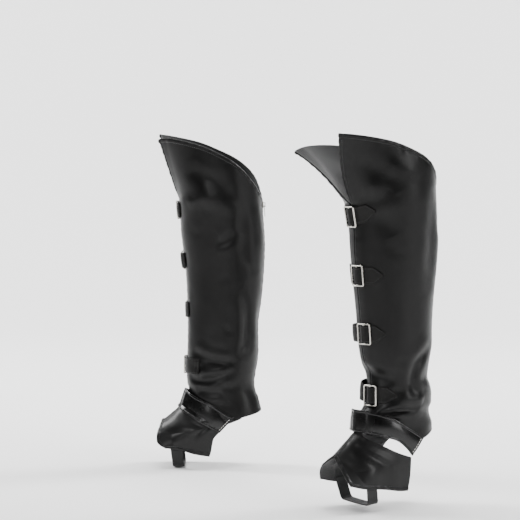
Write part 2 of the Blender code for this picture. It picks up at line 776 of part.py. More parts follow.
def make_slider(cover):
    """The zip's slider with its bridge, and the pull tab that hangs from it."""
    origin = back_line(cover, SLIDER_HEIGHT, 0, -LEATHER_WALL + TEETH_THICK / 2 + LAY_GAP)
    above = back_line(cover, SLIDER_HEIGHT + 5, 0, 0) - back_line(cover, SLIDER_HEIGHT - 5, 0, 0)
    across = Vector((*cover.facts["lateral"], 0))
    out = across.cross(above)
    if out.dot(-Vector((*cover.facts["forward"], 0))) < 0:
        out, across = -out, -across
    place = frame_at(origin, across, out)
    width, height, thick = SLIDER_SIZE
    roof = thick + BRIDGE_ROOM
    post = BRIDGE_ROOM + BRIDGE_BAR + 0.6
    boxes = [
        ((width, height, thick), (0, 0, thick / 2)),
        ((BRIDGE_WIDTH, 1.2, post), (0, BRIDGE_REACH - 0.6, thick - 0.6 + post / 2)),
        ((BRIDGE_WIDTH, 1.2, post), (0, 0.6 - BRIDGE_REACH, thick - 0.6 + post / 2)),
        ((BRIDGE_WIDTH, 2 * BRIDGE_REACH - 0.4, BRIDGE_BAR - 0.1), (0, 0, roof + BRIDGE_BAR / 2 - 0.05)),
    ]
    joined(f"{cover.name}_zip_slider", boxes, "metal", place)
    pin = thick + BRIDGE_ROOM / 2
    slot_width, slot_length = PULL_SLOT
    edge = rounded_box(PULL_WIDTH, PULL_LENGTH, 1.6, 2)
    drop = PULL_LENGTH / 2 - PULL_THICK / 2
    hole = rounded_box(slot_width, slot_length, 0.4, 1)
    hole_middle = -(PULL_THICK / 2 + slot_length / 2)
    outlines = [
        [(x, y - drop) for x, y in edge],
        [(x, y + hole_middle) for x, y in hole],
    ]
    hinge = place @ Matrix.Translation((0, 0, pin * MM))
    plate(f"{cover.name}_zip_pull", outlines, PULL_THICK, "metal", hinge)


def hem_point(cover, u, side, drop):
    """The upright point just below the shaft's hem, a share u of the way round to the zip."""
    height = table_at(HEM, u * math.pi)
    point = cover.upright(side * max(u * shaft_turn(cover, height), 1e-6), height)
    return Vector((point.x, abs(point.y), point.z - drop))


def spat_stations():
    """Shares of the way down the spat at which its columns stand."""
    hem = shaft_stations()[: SPAT_HEM_COLUMNS + 1]
    rest = SPAT_COLUMNS - SPAT_HEM_COLUMNS
    down = [SPAT_CORNER + (1 - SPAT_CORNER) * (step + 1) / rest for step in range(rest)]
    return [SPAT_CORNER * share / hem[-1] for share in hem] + down


def spat_back_edge(cover, side, u):
    """The spat's top edge, along the hem or below it, and then its back edge down."""
    top = hem_point(cover, 0, side, SEAM_GAP + HEM_GAP)
    opened = cover.facts["spat_top"][side]
    if opened:
        edge = (tuple(top), *opened)
        if u <= SPAT_CORNER:
            return along(edge, u / SPAT_CORNER)
        corner = Vector(opened[-1])
    else:
        share = shaft_stations()[SPAT_HEM_COLUMNS] * min(u / SPAT_CORNER, 1)
        corner = hem_point(cover, share, side, SEAM_GAP + HEM_GAP)
        if u <= SPAT_CORNER:
            return corner
    points = (tuple(corner), *cover.facts["spat_back"][side])
    return along(points, (u - SPAT_CORNER) / (1 - SPAT_CORNER))


def spat_point(cover, side, u, v):
    """The spat's outer face: u runs from the ridge down, v from the front back."""
    facts = cover.facts
    ridge_points = (*facts["spat_ridge"], tuple(hem_point(cover, 0, side, SEAM_GAP + HEM_GAP)))
    front, back = along(facts["spat_front"], u), spat_back_edge(cover, side, u)
    ridge, bottom = along(ridge_points, v), along(facts["spat_bottom"], v)
    corners = (
        (1 - u) * (1 - v) * Vector(ridge_points[0])
        + (1 - u) * v * Vector(ridge_points[-1])
        + u * (1 - v) * Vector(facts["spat_bottom"][0])
        + u * v * Vector(facts["spat_bottom"][-1])
    )
    point = (1 - v) * front + v * back + (1 - u) * ridge + u * bottom - corners
    bulge = 4.0 * math.sin(math.pi * u) * math.sin(math.pi * v)
    reach = facts["spat_reach"][side] * math.sin(math.pi * u) * (1 - v) ** 2
    for u0, v0, u1, v1, depth, width in SPAT_FOLDS:
        share = (u - u0) / (u1 - u0)
        if 0 < share < 1:
            off = ((v - v0 - (v1 - v0) * share) / width) ** 2
            bulge += depth * math.sin(math.pi * share) ** 0.7 * (1 - off) * math.exp(-0.6 * off)
    point.x += reach + 0.5 * bulge
    point.z += 0.6 * reach
    point.y = max(point.y + bulge * min(1, 4 * u), 0) + SEAM_GAP / 2
    return Vector((point.x, side * point.y, point.z))


def make_spat(cover, side):
    """One side of the foot piece, from the ridge down to the sole."""
    name = f"{cover.name}_spat_{SIDES[side]}"

    def point(u, v):
        return cover.room(spat_point(cover, side, u, v))

    inside = cover.room(Vector((40, 0, 30)))
    point = from_seam(cover, side, spat_stations(), point)
    return sheet(name, point, SPAT_COLUMNS, 8, LEATHER_WALL, "spat", inside)


def make_band(cover, side):
    """One half of the instep band, from the front seam to its sewn end."""
    name = f"{cover.name}_band_{SIDES[side]}"

    def point(u, v):
        low, high = along(cover.facts["band_bottom"], u), along(cover.facts["band_top"], u)
        middle = low.lerp(high, v)
        crown = 1.5 * math.sin(math.pi * v) * min(1, 4 * u)
        y = middle.y + crown + SEAM_GAP / 2
        place = cover.room(Vector((middle.x, side * y, middle.z)))
        return cover.clear(place, BAND_WALL + BAND_GAP)

    stations = [0.0] + [0.015 + 0.985 * step / 13 for step in range(14)]
    point = from_seam(cover, side, stations, point)
    sheet(name, point, 14, 3, BAND_WALL, "band", cover.room(Vector((0, 0, 90))))


def make_elastic(cover):
    """The elastic from one side of the spat, under the arch of the shoe, to the other."""
    path = []
    for side in (1, -1):
        shares = [share / 50 for share in range(51)]
        edge = [spat_point(cover, side, 1, share) for share in shares]
        top = min(edge, key=lambda spot: abs(spot.x - cover.facts["elastic"]))
        y = abs(top.y) - LEATHER_WALL - LAY_GAP
        points = [
            (side * y, top.z + ELASTIC_TUCK),
            (side * y, top.z),
            (side * (SOLE_HALF + 2), SOLE_HEIGHT + 12),
            (side * SOLE_HALF, SOLE_HEIGHT + 3),
            (side * (SOLE_HALF - 5), SOLE_HEIGHT),
        ]
        path += points if side > 0 else points[::-1]
    line = [(0, y, z) for y, z in path]

    def point(u, v):
        spot = along(line, u)
        x = cover.facts["elastic"] + (v - 0.5) * ELASTIC_WIDTH - 0.12 * (30 - spot.z)
        place = cover.room(Vector((x, spot.y, spot.z)))
        if spot.z < SOLE_HEIGHT + 12:
            return place
        return cover.clear(place, LEATHER_WALL + 2 * LAY_GAP, -1)

    inside = cover.room(Vector((cover.facts["elastic"], 0, 35)))
    sheet(f"{cover.name}_understrap", point, 18, 1, ELASTIC_WALL, "elastic", inside)


def main():
    for old in list(bpy.data.objects):
        bpy.data.objects.remove(old)
    for name in ("boot covers", "cutters"):
        bpy.context.scene.collection.children.link(bpy.data.collections.new(name))
    for name, facts in COVERS.items():
        cover = Cover(name, facts)
        shafts = [make_shaft(cover, side) for side in (1, -1)]
        spats = [make_spat(cover, side) for side in (1, -1)]
        cover.surfaces = shafts
        for number, strap in enumerate(facts["straps"], 1):
            make_strap(cover, number, strap)
            make_buckle(cover, number, strap)
        cover.surfaces = shafts + spats
        make_band(cover, 1)
        make_band(cover, -1)
        make_zip(cover)
        make_slider(cover)
        cover.surfaces = spats
        make_elastic(cover)


main()
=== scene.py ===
"""The looks of a pair of black faux leather boot covers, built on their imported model.

Sections follow the making of a cover: shaft panels, their seams, the zip, straps and
buckles, spat, band and the elastic underneath, and then the studio.
"""

import math

import bmesh
import bpy
import numpy as np
from mathutils import Matrix, Vector
from mathutils.bvhtree import BVHTree


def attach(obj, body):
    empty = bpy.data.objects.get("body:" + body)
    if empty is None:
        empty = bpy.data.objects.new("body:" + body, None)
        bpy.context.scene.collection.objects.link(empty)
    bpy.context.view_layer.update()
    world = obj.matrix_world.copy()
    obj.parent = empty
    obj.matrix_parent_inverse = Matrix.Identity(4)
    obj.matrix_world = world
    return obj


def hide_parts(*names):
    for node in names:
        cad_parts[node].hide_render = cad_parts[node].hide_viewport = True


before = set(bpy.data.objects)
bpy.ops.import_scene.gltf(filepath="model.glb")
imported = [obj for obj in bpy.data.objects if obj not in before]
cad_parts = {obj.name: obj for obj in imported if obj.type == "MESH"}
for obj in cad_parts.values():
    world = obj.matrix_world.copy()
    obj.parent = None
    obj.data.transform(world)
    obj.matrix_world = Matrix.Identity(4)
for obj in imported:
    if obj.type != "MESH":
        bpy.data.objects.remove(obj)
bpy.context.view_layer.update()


# Shaft panels: two to a cover, polyurethane faux leather on a knitted backing, cut to shape,
# turned in along the top and sewn together down the front. As worn they are drawn round, with
# deep folds where the cover bends above the spat and behind the notch.

MM = 0.001
LEATHER_WALL = 1.8
SEAM_GAP = 0.3
NOTCH_HEIGHT = 444.0
ANKLE_HEIGHT = 100.0
ZIP_HALF_GAP = 4.2
FRONT_NARROWING = 0.07
WING_REACH_ANGLE = math.radians(78)
WING_EASED_ANGLE = math.radians(20)
WING_EASE = 0.12
SETTLED_ABOVE = 165.0
HEM_LOWEST = 82.0
BEND_FROM = 70.0
BEND_OVER = 70.0
SIDES = {1: "lateral", -1: "medial"}

# How far round from the front centre the hem and the top edge stand, and how high.
# Columns: angle in degrees, height in millimetres
HEM = ((0, 114), (22, 109), (45, 100), (70, 89), (95, 82), (115, 82), (145, 87), (180, 92))
# Columns: angle in degrees, lateral height, medial height
RIGHT_TOP_EDGE = (
    (0, 549, 539),
    (30, 546, 540),
    (60, 538, 532),
    (85, 526, 520),
    (110, 512, 504),
    (130, 497, 486),
    (150, 478, 465),
    (165, 458, 450),
    (180, 443, 443),
)
LEFT_TOP_EDGE = (
    (0, 546, 537),
    (30, 543, 538),
    (60, 535, 530),
    (85, 523, 518),
    (110, 509, 502),
    (130, 494, 484),
    (150, 476, 464),
    (165, 457, 450),
    (180, 443, 443),
)

# Sections of each worn shaft, bottom to top.
# Columns: height, front, back, half width
RIGHT_SECTIONS = (
    (80, 64, -66, 38.5),
    (91, 62, -65.5, 38),
    (112, 56, -60.5, 36.5),
    (125, 54, -55.5, 36.5),
    (138, 57, -54, 37.5),
    (152, 58, -55.5, 39),
    (185, 57, -60.5, 41),
    (238, 56.2, -60.5, 43),
    (275, 57, -65.5, 45),
    (321, 59.3, -69.6, 48),
    (364, 64.2, -71.3, 52),
    (387, 67, -70.4, 54),
    (407, 68, -68.8, 57),
    (443, 70.6, -66.3, 63),
    (500, 72, -66, 67),
    (550, 73, -66, 68),
)
LEFT_SECTIONS = (
    (80, 70, -58, 38),
    (92, 69, -58, 37),
    (104, 68, -58.5, 36),
    (120, 66, -54.5, 36),
    (135, 62, -53.5, 36),
    (146, 55, -57, 37),
    (155, 50, -57, 37.5),
    (163, 47.5, -57, 38),
    (174, 46.5, -54.5, 38.5),
    (186, 45, -49.5, 38.5),
    (198, 47, -50.5, 39.5),
    (212, 53.5, -53.7, 41),
    (233, 58, -58.8, 42.5),
    (256, 59.8, -59.4, 43.5),
    (286, 61.4, -61.6, 45),
    (315, 63.6, -64.8, 47),
    (359, 66.7, -69.7, 51),
    (388, 67.7, -71.5, 54),
    (403, 67.4, -69.4, 56),
    (424, 68.6, -68, 58.5),
    (446, 72.6, -66.2, 61.5),
    (470, 73, -65.6, 63),
    (500, 72, -65, 64.5),
    (550, 72, -65, 64),
)

# The largest folds of each worn shaft: curves on the cloth, with the lateral side positive.
# Columns: angle and height where it starts, at its middle and where it ends, depth, width
RIGHT_FOLDS = (
    (-44, 492, -84, 468, -118, 432, -3.0, 8),
    (-70, 485, -88, 478, -106, 466, -2.0, 9),
    (-38, 432, -74, 442, -100, 420, 2.4, 8),
    (-80, 371, -94, 374, -106, 392, -2.6, 7),
    (-130, 477, -122, 393, -120, 309, -4.0, 9),
    (-114, 294, -134, 237, -120, 180, -3.6, 9),
    (-34, 193, -76, 178, -114, 177, -3.2, 7),
    (-52, 157, -74, 160, -98, 162, 3.0, 9),
    (-26, 151, -66, 144, -114, 162, -3.2, 6),
    (-40, 131, -66, 128, -92, 125, -1.8, 6),
    (38, 498, 80, 474, 112, 436, -3.0, 8),
    (126, 470, 120, 388, 118, 300, -3.6, 9),
    (108, 288, 132, 240, 116, 184, -3.6, 9),
    (58, 398, 84, 378, 104, 390, -2.4, 8),
    (28, 197, 74, 182, 116, 172, -3.2, 7),
    (58, 160, 82, 156, 102, 160, 2.8, 9),
    (26, 146, 70, 142, 112, 156, -3.0, 6),
)
LEFT_FOLDS = (
    (22, 508, 46, 492, 68, 462, -3.0, 8),
    (26, 469, 38, 465, 52, 458, 2.2, 8),
    (58, 502, 76, 495, 96, 480, 2.4, 9),
    (34, 442, 47, 456, 60, 466, -2.0, 7),
    (40, 430, 51, 414, 60, 398, -2.2, 9),
    (126, 468, 118, 386, 116, 306, -3.4, 9),
    (134, 236, 92, 200, 96, 162, -3.2, 8),
    (-24, 210, 16, 198, 58, 188, -3.4, 9),
    (34, 135, 66, 141, 106, 141, -3.4, 6),
    (56, 130, 68, 124, 78, 116, -2.4, 6),
    (60, 158, 84, 160, 110, 152, 2.6, 8),
    (-30, 500, -58, 482, -86, 440, -3.0, 8),
    (-128, 470, -120, 392, -118, 312, -3.6, 9),
    (-116, 292, -132, 240, -118, 190, -3.6, 9),
    (-58, 398, -80, 380, -102, 392, -2.4, 8),
    (-44, 190, -76, 176, -114, 172, -3.2, 7),
    (-40, 150, -70, 146, -110, 158, -3.2, 6),
)

# The smaller creases between those folds, in the same columns.
RIGHT_CREASES = (
    (-44, 132, -68, 122, -90, 126, -0.7, 5.4),
    (-80, 303, -88, 312, -96, 318, -0.5, 6.8),
    (-90, 228, -98, 228, -108, 222, -0.5, 6.8),
    (-42, 447, -50, 446, -56, 441, -0.6, 5.4),
    (-40, 387, -50, 386, -58, 381, -0.5, 5.4),
    (-60, 206, -84, 196, -104, 198, -0.7, 6.8),
    (-30, 172, -50, 168, -72, 170, -0.6, 5.4),
    (-84, 140, -104, 132, -124, 136, -0.7, 5.4),
    (-110, 208, -128, 200, -150, 204, -0.7, 6.8),
    (-60, 108, -84, 104, -108, 100, -0.5, 5.4),
    (-96, 420, -112, 406, -124, 384, -0.6, 6.8),
    (-60, 520, -78, 508, -96, 486, -0.5, 6.8),
    (-138, 440, -146, 400, -142, 360, -0.6, 6.8),
    (-120, 352, -134, 332, -146, 320, -0.7, 6.8),
    (-30, 300, -36, 268, -32, 232, -0.4, 9.5),
    (-66, 282, -72, 254, -68, 222, 0.5, 12.2),
    (44, 132, 66, 122, 92, 124, -0.7, 5.4),
    (70, 300, 84, 312, 98, 316, -0.5, 6.8),
    (60, 208, 82, 196, 106, 200, -0.7, 6.8),
    (30, 174, 52, 168, 74, 172, -0.6, 5.4),
    (84, 142, 104, 132, 126, 138, -0.7, 5.4),
    (108, 208, 128, 202, 148, 206, -0.7, 6.8),
    (58, 110, 84, 104, 110, 98, -0.5, 5.4),
    (94, 424, 110, 406, 124, 386, -0.6, 6.8),
    (58, 522, 78, 508, 98, 488, -0.5, 6.8),
    (136, 442, 146, 402, 140, 362, -0.6, 6.8),
    (118, 354, 134, 334, 148, 322, -0.7, 6.8),
    (30, 296, 38, 266, 34, 230, -0.4, 9.5),
    (64, 284, 74, 252, 70, 220, 0.5, 12.2),
)
LEFT_CREASES = (
    (34, 135, 66, 138, 104, 141, -0.7, 5.4),
    (58, 129, 66, 124, 76, 117, -0.6, 5.4),
    (30, 492, 48, 476, 62, 452, 1.6, 15.0),
    (78, 500, 92, 476, 104, 440, 0.8, 16.0),
    (24, 176, 48, 172, 74, 176, -0.7, 5.4),
    (30, 126, 44, 128, 60, 132, 0.8, 4.0),
    (96, 176, 104, 150, 112, 122, 1.0, 9.0),
    (60, 218, 84, 214, 110, 222, -0.7, 6.8),
    (104, 196, 126, 190, 148, 194, -0.7, 6.8),
    (90, 408, 108, 396, 122, 372, -0.6, 6.8),
    (136, 440, 146, 400, 140, 362, -0.6, 6.8),
    (112, 352, 130, 334, 146, 322, -0.7, 6.8),
    (34, 330, 40, 300, 38, 268, -0.4, 9.5),
    (70, 300, 78, 268, 74, 236, 0.5, 12.2),
    (52, 386, 72, 372, 90, 372, -0.5, 6.8),
    (-34, 135, -62, 128, -98, 136, -0.7, 5.4),
    (-60, 210, -84, 198, -106, 202, -0.7, 6.8),
    (-30, 172, -52, 166, -74, 170, -0.6, 5.4),
    (-84, 142, -104, 134, -124, 138, -0.7, 5.4),
    (-104, 208, -128, 200, -148, 206, -0.7, 6.8),
    (-58, 112, -84, 106, -108, 104, -0.5, 5.4),
    (-92, 424, -110, 408, -122, 386, -0.6, 6.8),
    (-58, 520, -78, 506, -98, 484, -0.5, 6.8),
    (-136, 442, -146, 402, -140, 364, -0.6, 6.8),
    (-116, 354, -134, 334, -148, 320, -0.7, 6.8),
    (-32, 296, -38, 266, -34, 230, -0.4, 9.5),
    (-66, 284, -74, 252, -70, 222, 0.5, 12.2),
)

# A degree round the laid-out cloth in millimetres, and how much softer than its table each
# fold is drawn: shallower and wider, and more so in the upper part.
DEGREE_WIDTH = 0.95
UPPER_FROM = 385.0
UPPER_EASE = 0.62
LOWER_EASE = 0.85
FOLD_STEPS = 9
FOLD_REACH = 3
FOLD_RIM = 0.6
FOLD_TAPER = 0.7

# Where each cover stands and which way it heads, and how far it is pitched, bent and pulled
# out, in degrees and millimetres. Wing tips are forward, sideways, height and how early the
# wing leans.
STANCE_LENGTH = 263.4
STANCE_WIDTH = 330.6
ANKLE_DROP = 13.9
BALL_FORWARD = 150.0
COVERS = {
    "left": {
        "sections": LEFT_SECTIONS,
        "top_edge": LEFT_TOP_EDGE,
        "folds": LEFT_FOLDS + LEFT_CREASES,
        "ankle": (0.0, 0.0, 0.0),
        "heading": 33.0,
        "pitch": 5.5,
        "lean": 2.0,
        "settle": 16.0,
        "wing_tips": {1: (113, 30, 546, 0.9), -1: (135, -46, 537, 0.75)},
        "wing_droop": {1: 0.0, -1: 16.0},
    },
    "right": {
        "sections": RIGHT_SECTIONS,
        "top_edge": RIGHT_TOP_EDGE,
        "folds": RIGHT_FOLDS + RIGHT_CREASES,
        "ankle": (-STANCE_LENGTH, STANCE_WIDTH, -ANKLE_DROP),
        "heading": 0.0,
        "pitch": 0.0,
        "lean": 0.0,
        "settle": 0.0,
        "wing_tips": {1: (104, 30, 549, 0.9), -1: (102, -29, 539, 0.9)},
        "wing_droop": {1: 0.0, -1: 0.0},
    },
}


def smooth(t):
    """0 below 0, 1 above 1, and an even rise between."""
    t = np.clip(t, 0.0, 1.0)
    return t * t * (3 - 2 * t)


def spline(rows, x):
    """A table's row at each x, its first column, read along a smooth curve."""
    table = np.array(rows, float)
    keys, values = table[:, 0], table[:, 1:]
    x = np.clip(np.asarray(x, float), keys[0], keys[-1])
    i = np.clip(np.searchsorted(keys, x, side="right") - 1, 0, len(keys) - 2)
    ahead = np.minimum(np.arange(len(keys)) + 1, len(keys) - 1)
    behind = np.maximum(np.arange(len(keys)) - 1, 0)
    slopes = (values[ahead] - values[behind]) / (keys[ahead] - keys[behind])[:, None]
    span = (keys[i + 1] - keys[i])[..., None]
    t = (x - keys[i])[..., None] / span
    near = (2 * t**3 - 3 * t**2 + 1) * values[i] + (t**3 - 2 * t**2 + t) * span * slopes[i]
    far = (3 * t**2 - 2 * t**3) * values[i + 1] + (t**3 - t**2) * span * slopes[i + 1]
    return near + far


def along(points, t):
    """The points a fraction t of the way along a smooth curve through these points."""
    points = np.array(points, float)
    steps = np.linalg.norm(np.diff(points, axis=0), axis=1)
    lengths = np.concatenate([[0.0], np.cumsum(steps)])
    return spline(np.column_stack([lengths, points]), np.asarray(t) * lengths[-1])


def fold_line(row):
    """A fold as short straight steps on the laid-out cloth, with its depth and width."""
    a0, h0, a1, h1, a2, h2, depth, width = row
    ease = UPPER_EASE if h1 > UPPER_FROM else LOWER_EASE
    depth, width = depth * ease, width / ease
    t = np.linspace(0, 1, FOLD_STEPS)
    a = (1 - t) ** 2 * a0 + 2 * t * (1 - t) * (2 * a1 - (a0 + a2) / 2) + t * t * a2
    h = (1 - t) ** 2 * h0 + 2 * t * (1 - t) * (2 * h1 - (h0 + h2) / 2) + t * t * h2
    return np.column_stack([a * DEGREE_WIDTH, h]), depth, width


def fold_height(folds, x, y):
    """How far the folds push the cloth out at each point of the laid-out cloth."""
    total = np.zeros(np.broadcast(x, y).shape)
    for line, depth, width in folds:
        best, share = np.full(total.shape, 1e9), np.zeros(total.shape)
        for i, ((ax, ay), (bx, by)) in enumerate(zip(line, line[1:])):
            dx, dy = bx - ax, by - ay
            t = np.clip(((x - ax) * dx + (y - ay) * dy) / (dx * dx + dy * dy), 0, 1)
            far = np.hypot(x - ax - t * dx, y - ay - t * dy)
            nearer = far < best
            best = np.where(nearer, far, best)
            share = np.where(nearer, (i + t) / (len(line) - 1), share)
        off = (best / width) ** 2
        ends = np.sin(np.pi * np.clip(share, 1e-6, 1 - 1e-6)) ** FOLD_TAPER
        push = depth * (1 - off) * np.exp(-FOLD_RIM * off) * ends
        total += np.where(best < FOLD_REACH * width, push, 0)
    return total


def unit(vectors):
    """The vectors at a length of 1."""
    return vectors / np.linalg.norm(vectors, axis=-1, keepdims=True)


# The steps over which slopes and arcs are measured, in radians, millimetres and degrees, and
# how often and how far a point may be moved to stand clear.
TURN_STEP = 0.02
RISE_STEP = 2
ARC_STEP = 0.5
CLEAR_ROUNDS = 3
CLEAR_REACH = 12


class Cover:
    """One worn cover: where a point of its cut lies on the upright shaft, and in the room."""

    def __init__(self, name, facts):
        self.name = name
        self.facts = facts
        self.folds = [fold_line(row) for row in facts["folds"]]
        self.surfaces = []
        heading = math.radians(facts["heading"])
        self.forward = np.array((-math.cos(heading), -math.sin(heading), 0))
        self.lateral = np.array((math.sin(heading), -math.cos(heading), 0))
        if name == "right":
            self.lateral = -self.lateral
        self.pitch = math.radians(facts["pitch"])
        self.bend = math.radians(facts["lean"]) - self.pitch
        self.ankle = self.turned(np.array((0, 0, ANKLE_HEIGHT)), self.pitch, BALL_FORWARD, 0)

    @staticmethod
    def turned(points, angle, x, z):
        """The points tipped forward and down about a sideways line at (x, z)."""
        c, s = np.cos(angle), np.sin(angle)
        dx, dz = points[..., 0] - x, points[..., 2] - z
        return np.stack([x + dx * c + dz * s, points[..., 1], z - dx * s + dz * c], -1)

    def room(self, points):
        """Points of the upright cover, in millimetres, in the room, in metres."""
        points = np.array(points, float)
        rise = (points[..., 2] - HEM_LOWEST) / (SETTLED_ABOVE - HEM_LOWEST)
        points[..., 2] -= self.facts["settle"] * smooth(rise)
        above = smooth((points[..., 2] - BEND_FROM) / BEND_OVER)
        points = self.turned(points, self.bend * above, 0, ANKLE_HEIGHT)
        points = self.turned(points, self.pitch, BALL_FORWARD, 0) - (self.ankle * (1, 0, 1))
        ahead, out, up = points[..., :1], points[..., 1:2], points[..., 2:]
        spread = self.forward * ahead + self.lateral * out + np.array((0, 0, 1)) * up
        return (spread + np.array(self.facts["ankle"])) * MM

    def upright(self, angle, height):
        """The shaft's outer face at angles from the front, lateral positive, in millimetres."""
        angle, height = np.broadcast_arrays(np.asarray(angle, float), np.asarray(height, float))
        front, back, half = np.moveaxis(spline(self.facts["sections"], height), -1, 0)
        side = np.where(angle < 0, -1, 1)
        x = (front + back) / 2 + (front - back) / 2 * np.cos(angle)
        y = half * np.sin(angle) * (1 - FRONT_NARROWING * np.cos(angle)) + side * SEAM_GAP / 2
        fold = fold_height(self.folds, np.degrees(angle) * DEGREE_WIDTH, height)
        x, y, z = x + np.cos(angle) * fold, y + np.sin(angle) * fold, np.array(height)
        notch = spline(self.facts["sections"], NOTCH_HEIGHT)[0]
        for way, (tip_x, tip_y, tip_z, lean) in self.facts["wing_tips"].items():
            rise = np.clip((height - NOTCH_HEIGHT) / (tip_z - NOTCH_HEIGHT), 0, None)
            eased = smooth(np.abs(angle) / WING_EASED_ANGLE)
            rise = rise * (1 - eased) + eased * rise**2 / (rise + WING_EASE)
            hold = (1 - smooth(np.abs(angle) / WING_REACH_ANGLE)) * (side == way) * (rise > 0)
            x = x + (notch + (tip_x - notch) * rise**lean - front) * hold
            y = y + tip_y * rise**2 * hold
            z = z - self.facts["wing_droop"][way] * hold * rise**2
        return np.stack([x, y, z], -1)

    def normal(self, angle, height):
        """The way out of the cloth at points of it."""
        angle, height = np.broadcast_arrays(np.asarray(angle, float), np.asarray(height, float))
        side = np.where(angle < 0, -1, 1)
        front = side * angle <= TURN_STEP
        low = np.where(front, angle, angle - TURN_STEP)
        high = np.where(front, angle + side * 2 * TURN_STEP, angle + TURN_STEP)
        across = self.room(self.upright(high, height)) - self.room(self.upright(low, height))
        above = self.room(self.upright(angle, height + RISE_STEP))
        up = above - self.room(self.upright(angle, height - RISE_STEP))
        found = unit(np.cross(across, up))
        middle = np.stack([0 * height, 0 * height, height], -1)
        outward = self.room(self.upright(angle, height)) - self.room(middle)
        return found * np.where((found * outward).sum(-1, keepdims=True) > 0, 1, -1)

    def middle(self, height=280):
        """A point inside the cover, in the room."""
        return self.room((0, 0, height))

    def skin(self, angle, height, out=0.0):
        """The shaft's face in the room, moved out by some millimetres."""
        points = self.room(self.upright(angle, height))
        return points + self.normal(angle, height) * np.asarray(out)[..., None] * MM

    def clear(self, points, gap, way=1):
        """The points, moved out (or in) where they are closer than this to the cloth's face."""
        for place in points.reshape(-1, 3):
            for _ in range(CLEAR_ROUNDS):
                spot = Vector(place)
                found = [tree.find_nearest(spot) for tree in self.surfaces]
                near, out, _, _ = min(found, key=lambda hit: hit[3])
                lack = gap * MM - way * (spot - near).dot(out)
                if not 0 < lack < CLEAR_REACH * MM:
                    break
                place += np.array(way * out * lack)
        return points

    def arc_angle(self, arc, height):
        """The angles at which these arc lengths from the front seam end, at one height."""
        front, back, half = spline(self.facts["sections"], height)
        turn = np.radians(np.arange(0, 200, ARC_STEP))
        steps = np.hypot((front - back) / 2 * np.sin(turn), half * np.cos(turn))
        lengths = np.concatenate([[0], np.cumsum(steps[:-1] * math.radians(ARC_STEP))])
        return np.interp(np.abs(arc), lengths, turn) * np.where(np.asarray(arc) < 0, -1, 1)


def linear(code):
    """A colour from its sRGB hex value, in the linear numbers that shaders take."""
    parts = [int(code[i : i + 2], 16) / 255 for i in (1, 3, 5)]
    return [p / 12.92 if p <= 0.04045 else ((p + 0.055) / 1.055) ** 2.4 for p in parts] + [1]


def add_node(tree, kind, settings, **links):
    """A node with its properties and socket values, and links to its inputs by name."""
    made = tree.nodes.new(kind)
    for key, value in settings.items():
        if key in made.inputs:
            made.inputs[key].default_value = value
        else:
            setattr(made, key, value)
    for key, source in links.items():
        tree.links.new(source, made.inputs[key.replace("_", " ")])
    return made


def new_material(name, settings):
    """A material with its Principled shader's constant values set, and its node tree."""
    made = bpy.data.materials.new(name)
    made.use_nodes = True
    shader = made.node_tree.nodes["Principled BSDF"]
    for key, value in settings.items():
        shader.inputs[key].default_value = value
    return made, made.node_tree, shader


def new_object(name, data):
    """A new object in the scene."""
    made = bpy.data.objects.new(name, data)
    bpy.context.scene.collection.objects.link(made)
    return made


LEATHER_GRAIN = 0.7
LEATHER_WAVES = 13
HANDLED_PATCHES = 38


def faux_leather(name, colour, worn, roughness, coat):
    """Polyurethane film over a knitted backing: a shallow pressed grain that breaks up a soft
    gloss, slightly duller in patches where it has been handled, and faintly wavy all over. Its
    grain cells are 0.7 mm, about twice a real film's, so that they show."""
    made, tree, shader = new_material(
        name,
        {"IOR": 1.48, "Specular IOR Level": 0.21, "Coat Weight": coat, "Coat Roughness": 0.2},
    )
    place = add_node(tree, "ShaderNodeTexCoord", {}).outputs["Object"]
    patches = {"Scale": 1 / (HANDLED_PATCHES * MM), "Detail": 3.0}
    handled = add_node(tree, "ShaderNodeTexNoise", patches, Vector=place).outputs["Fac"]
    tone = add_node(tree, "ShaderNodeMix", {"data_type": "RGBA"}, Factor=handled)
    tone.inputs["A"].default_value = linear(colour)
    tone.inputs["B"].default_value = linear(worn)
    tree.links.new(tone.outputs["Result"], shader.inputs["Base Color"])
    shine = {"From Min": 0.3, "From Max": 0.7, "To Min": roughness - 0.05, "To Max": roughness + 0.07}
    dull = add_node(tree, "ShaderNodeMapRange", shine, Value=handled)
    tree.links.new(dull.outputs["Result"], shader.inputs["Roughness"])
    cells = {"feature": "DISTANCE_TO_EDGE", "Scale": 1 / (LEATHER_GRAIN * MM)}
    pressed = add_node(tree, "ShaderNodeTexVoronoi", cells, Vector=place).outputs["Distance"]
    swell = {"Scale": 1 / (LEATHER_WAVES * MM), "Detail": 2.0}
    wavy = add_node(tree, "ShaderNodeTexNoise", swell, Vector=place).outputs["Fac"]
    waves = add_node(tree, "ShaderNodeBump", {"Strength": 0.45, "Distance": 0.5 * MM}, Height=wavy)
    grains = add_node(
        tree,
        "ShaderNodeBump",
        {"Strength": 0.25, "Distance": 0.06 * MM},
        Height=pressed,
        Normal=waves.outputs["Normal"],
    )
    tree.links.new(grains.outputs["Normal"], shader.inputs["Normal"])
    return made


WAVE_UNIT = 0.314


def ridged_textile(name, settings, laid_by, ridges, spacing, strength, depth):
    """A cloth or thread with even ridges this far apart, in the units that it is laid out by.
    Blender's wave texture repeats every 0.314 units at a scale of 1."""
    made, tree, shader = new_material(name, settings)
    place = add_node(tree, "ShaderNodeTexCoord", {}).outputs[laid_by]
    pattern = {"Scale": WAVE_UNIT / spacing, **ridges}
    wave = add_node(tree, "ShaderNodeTexWave", pattern, Vector=place).outputs["Fac"]
    raised = add_node(tree, "ShaderNodeBump", {"Strength": strength, "Distance": depth * MM}, Height=wave)
    tree.links.new(raised.outputs["Normal"], shader.inputs["Normal"])
    return made


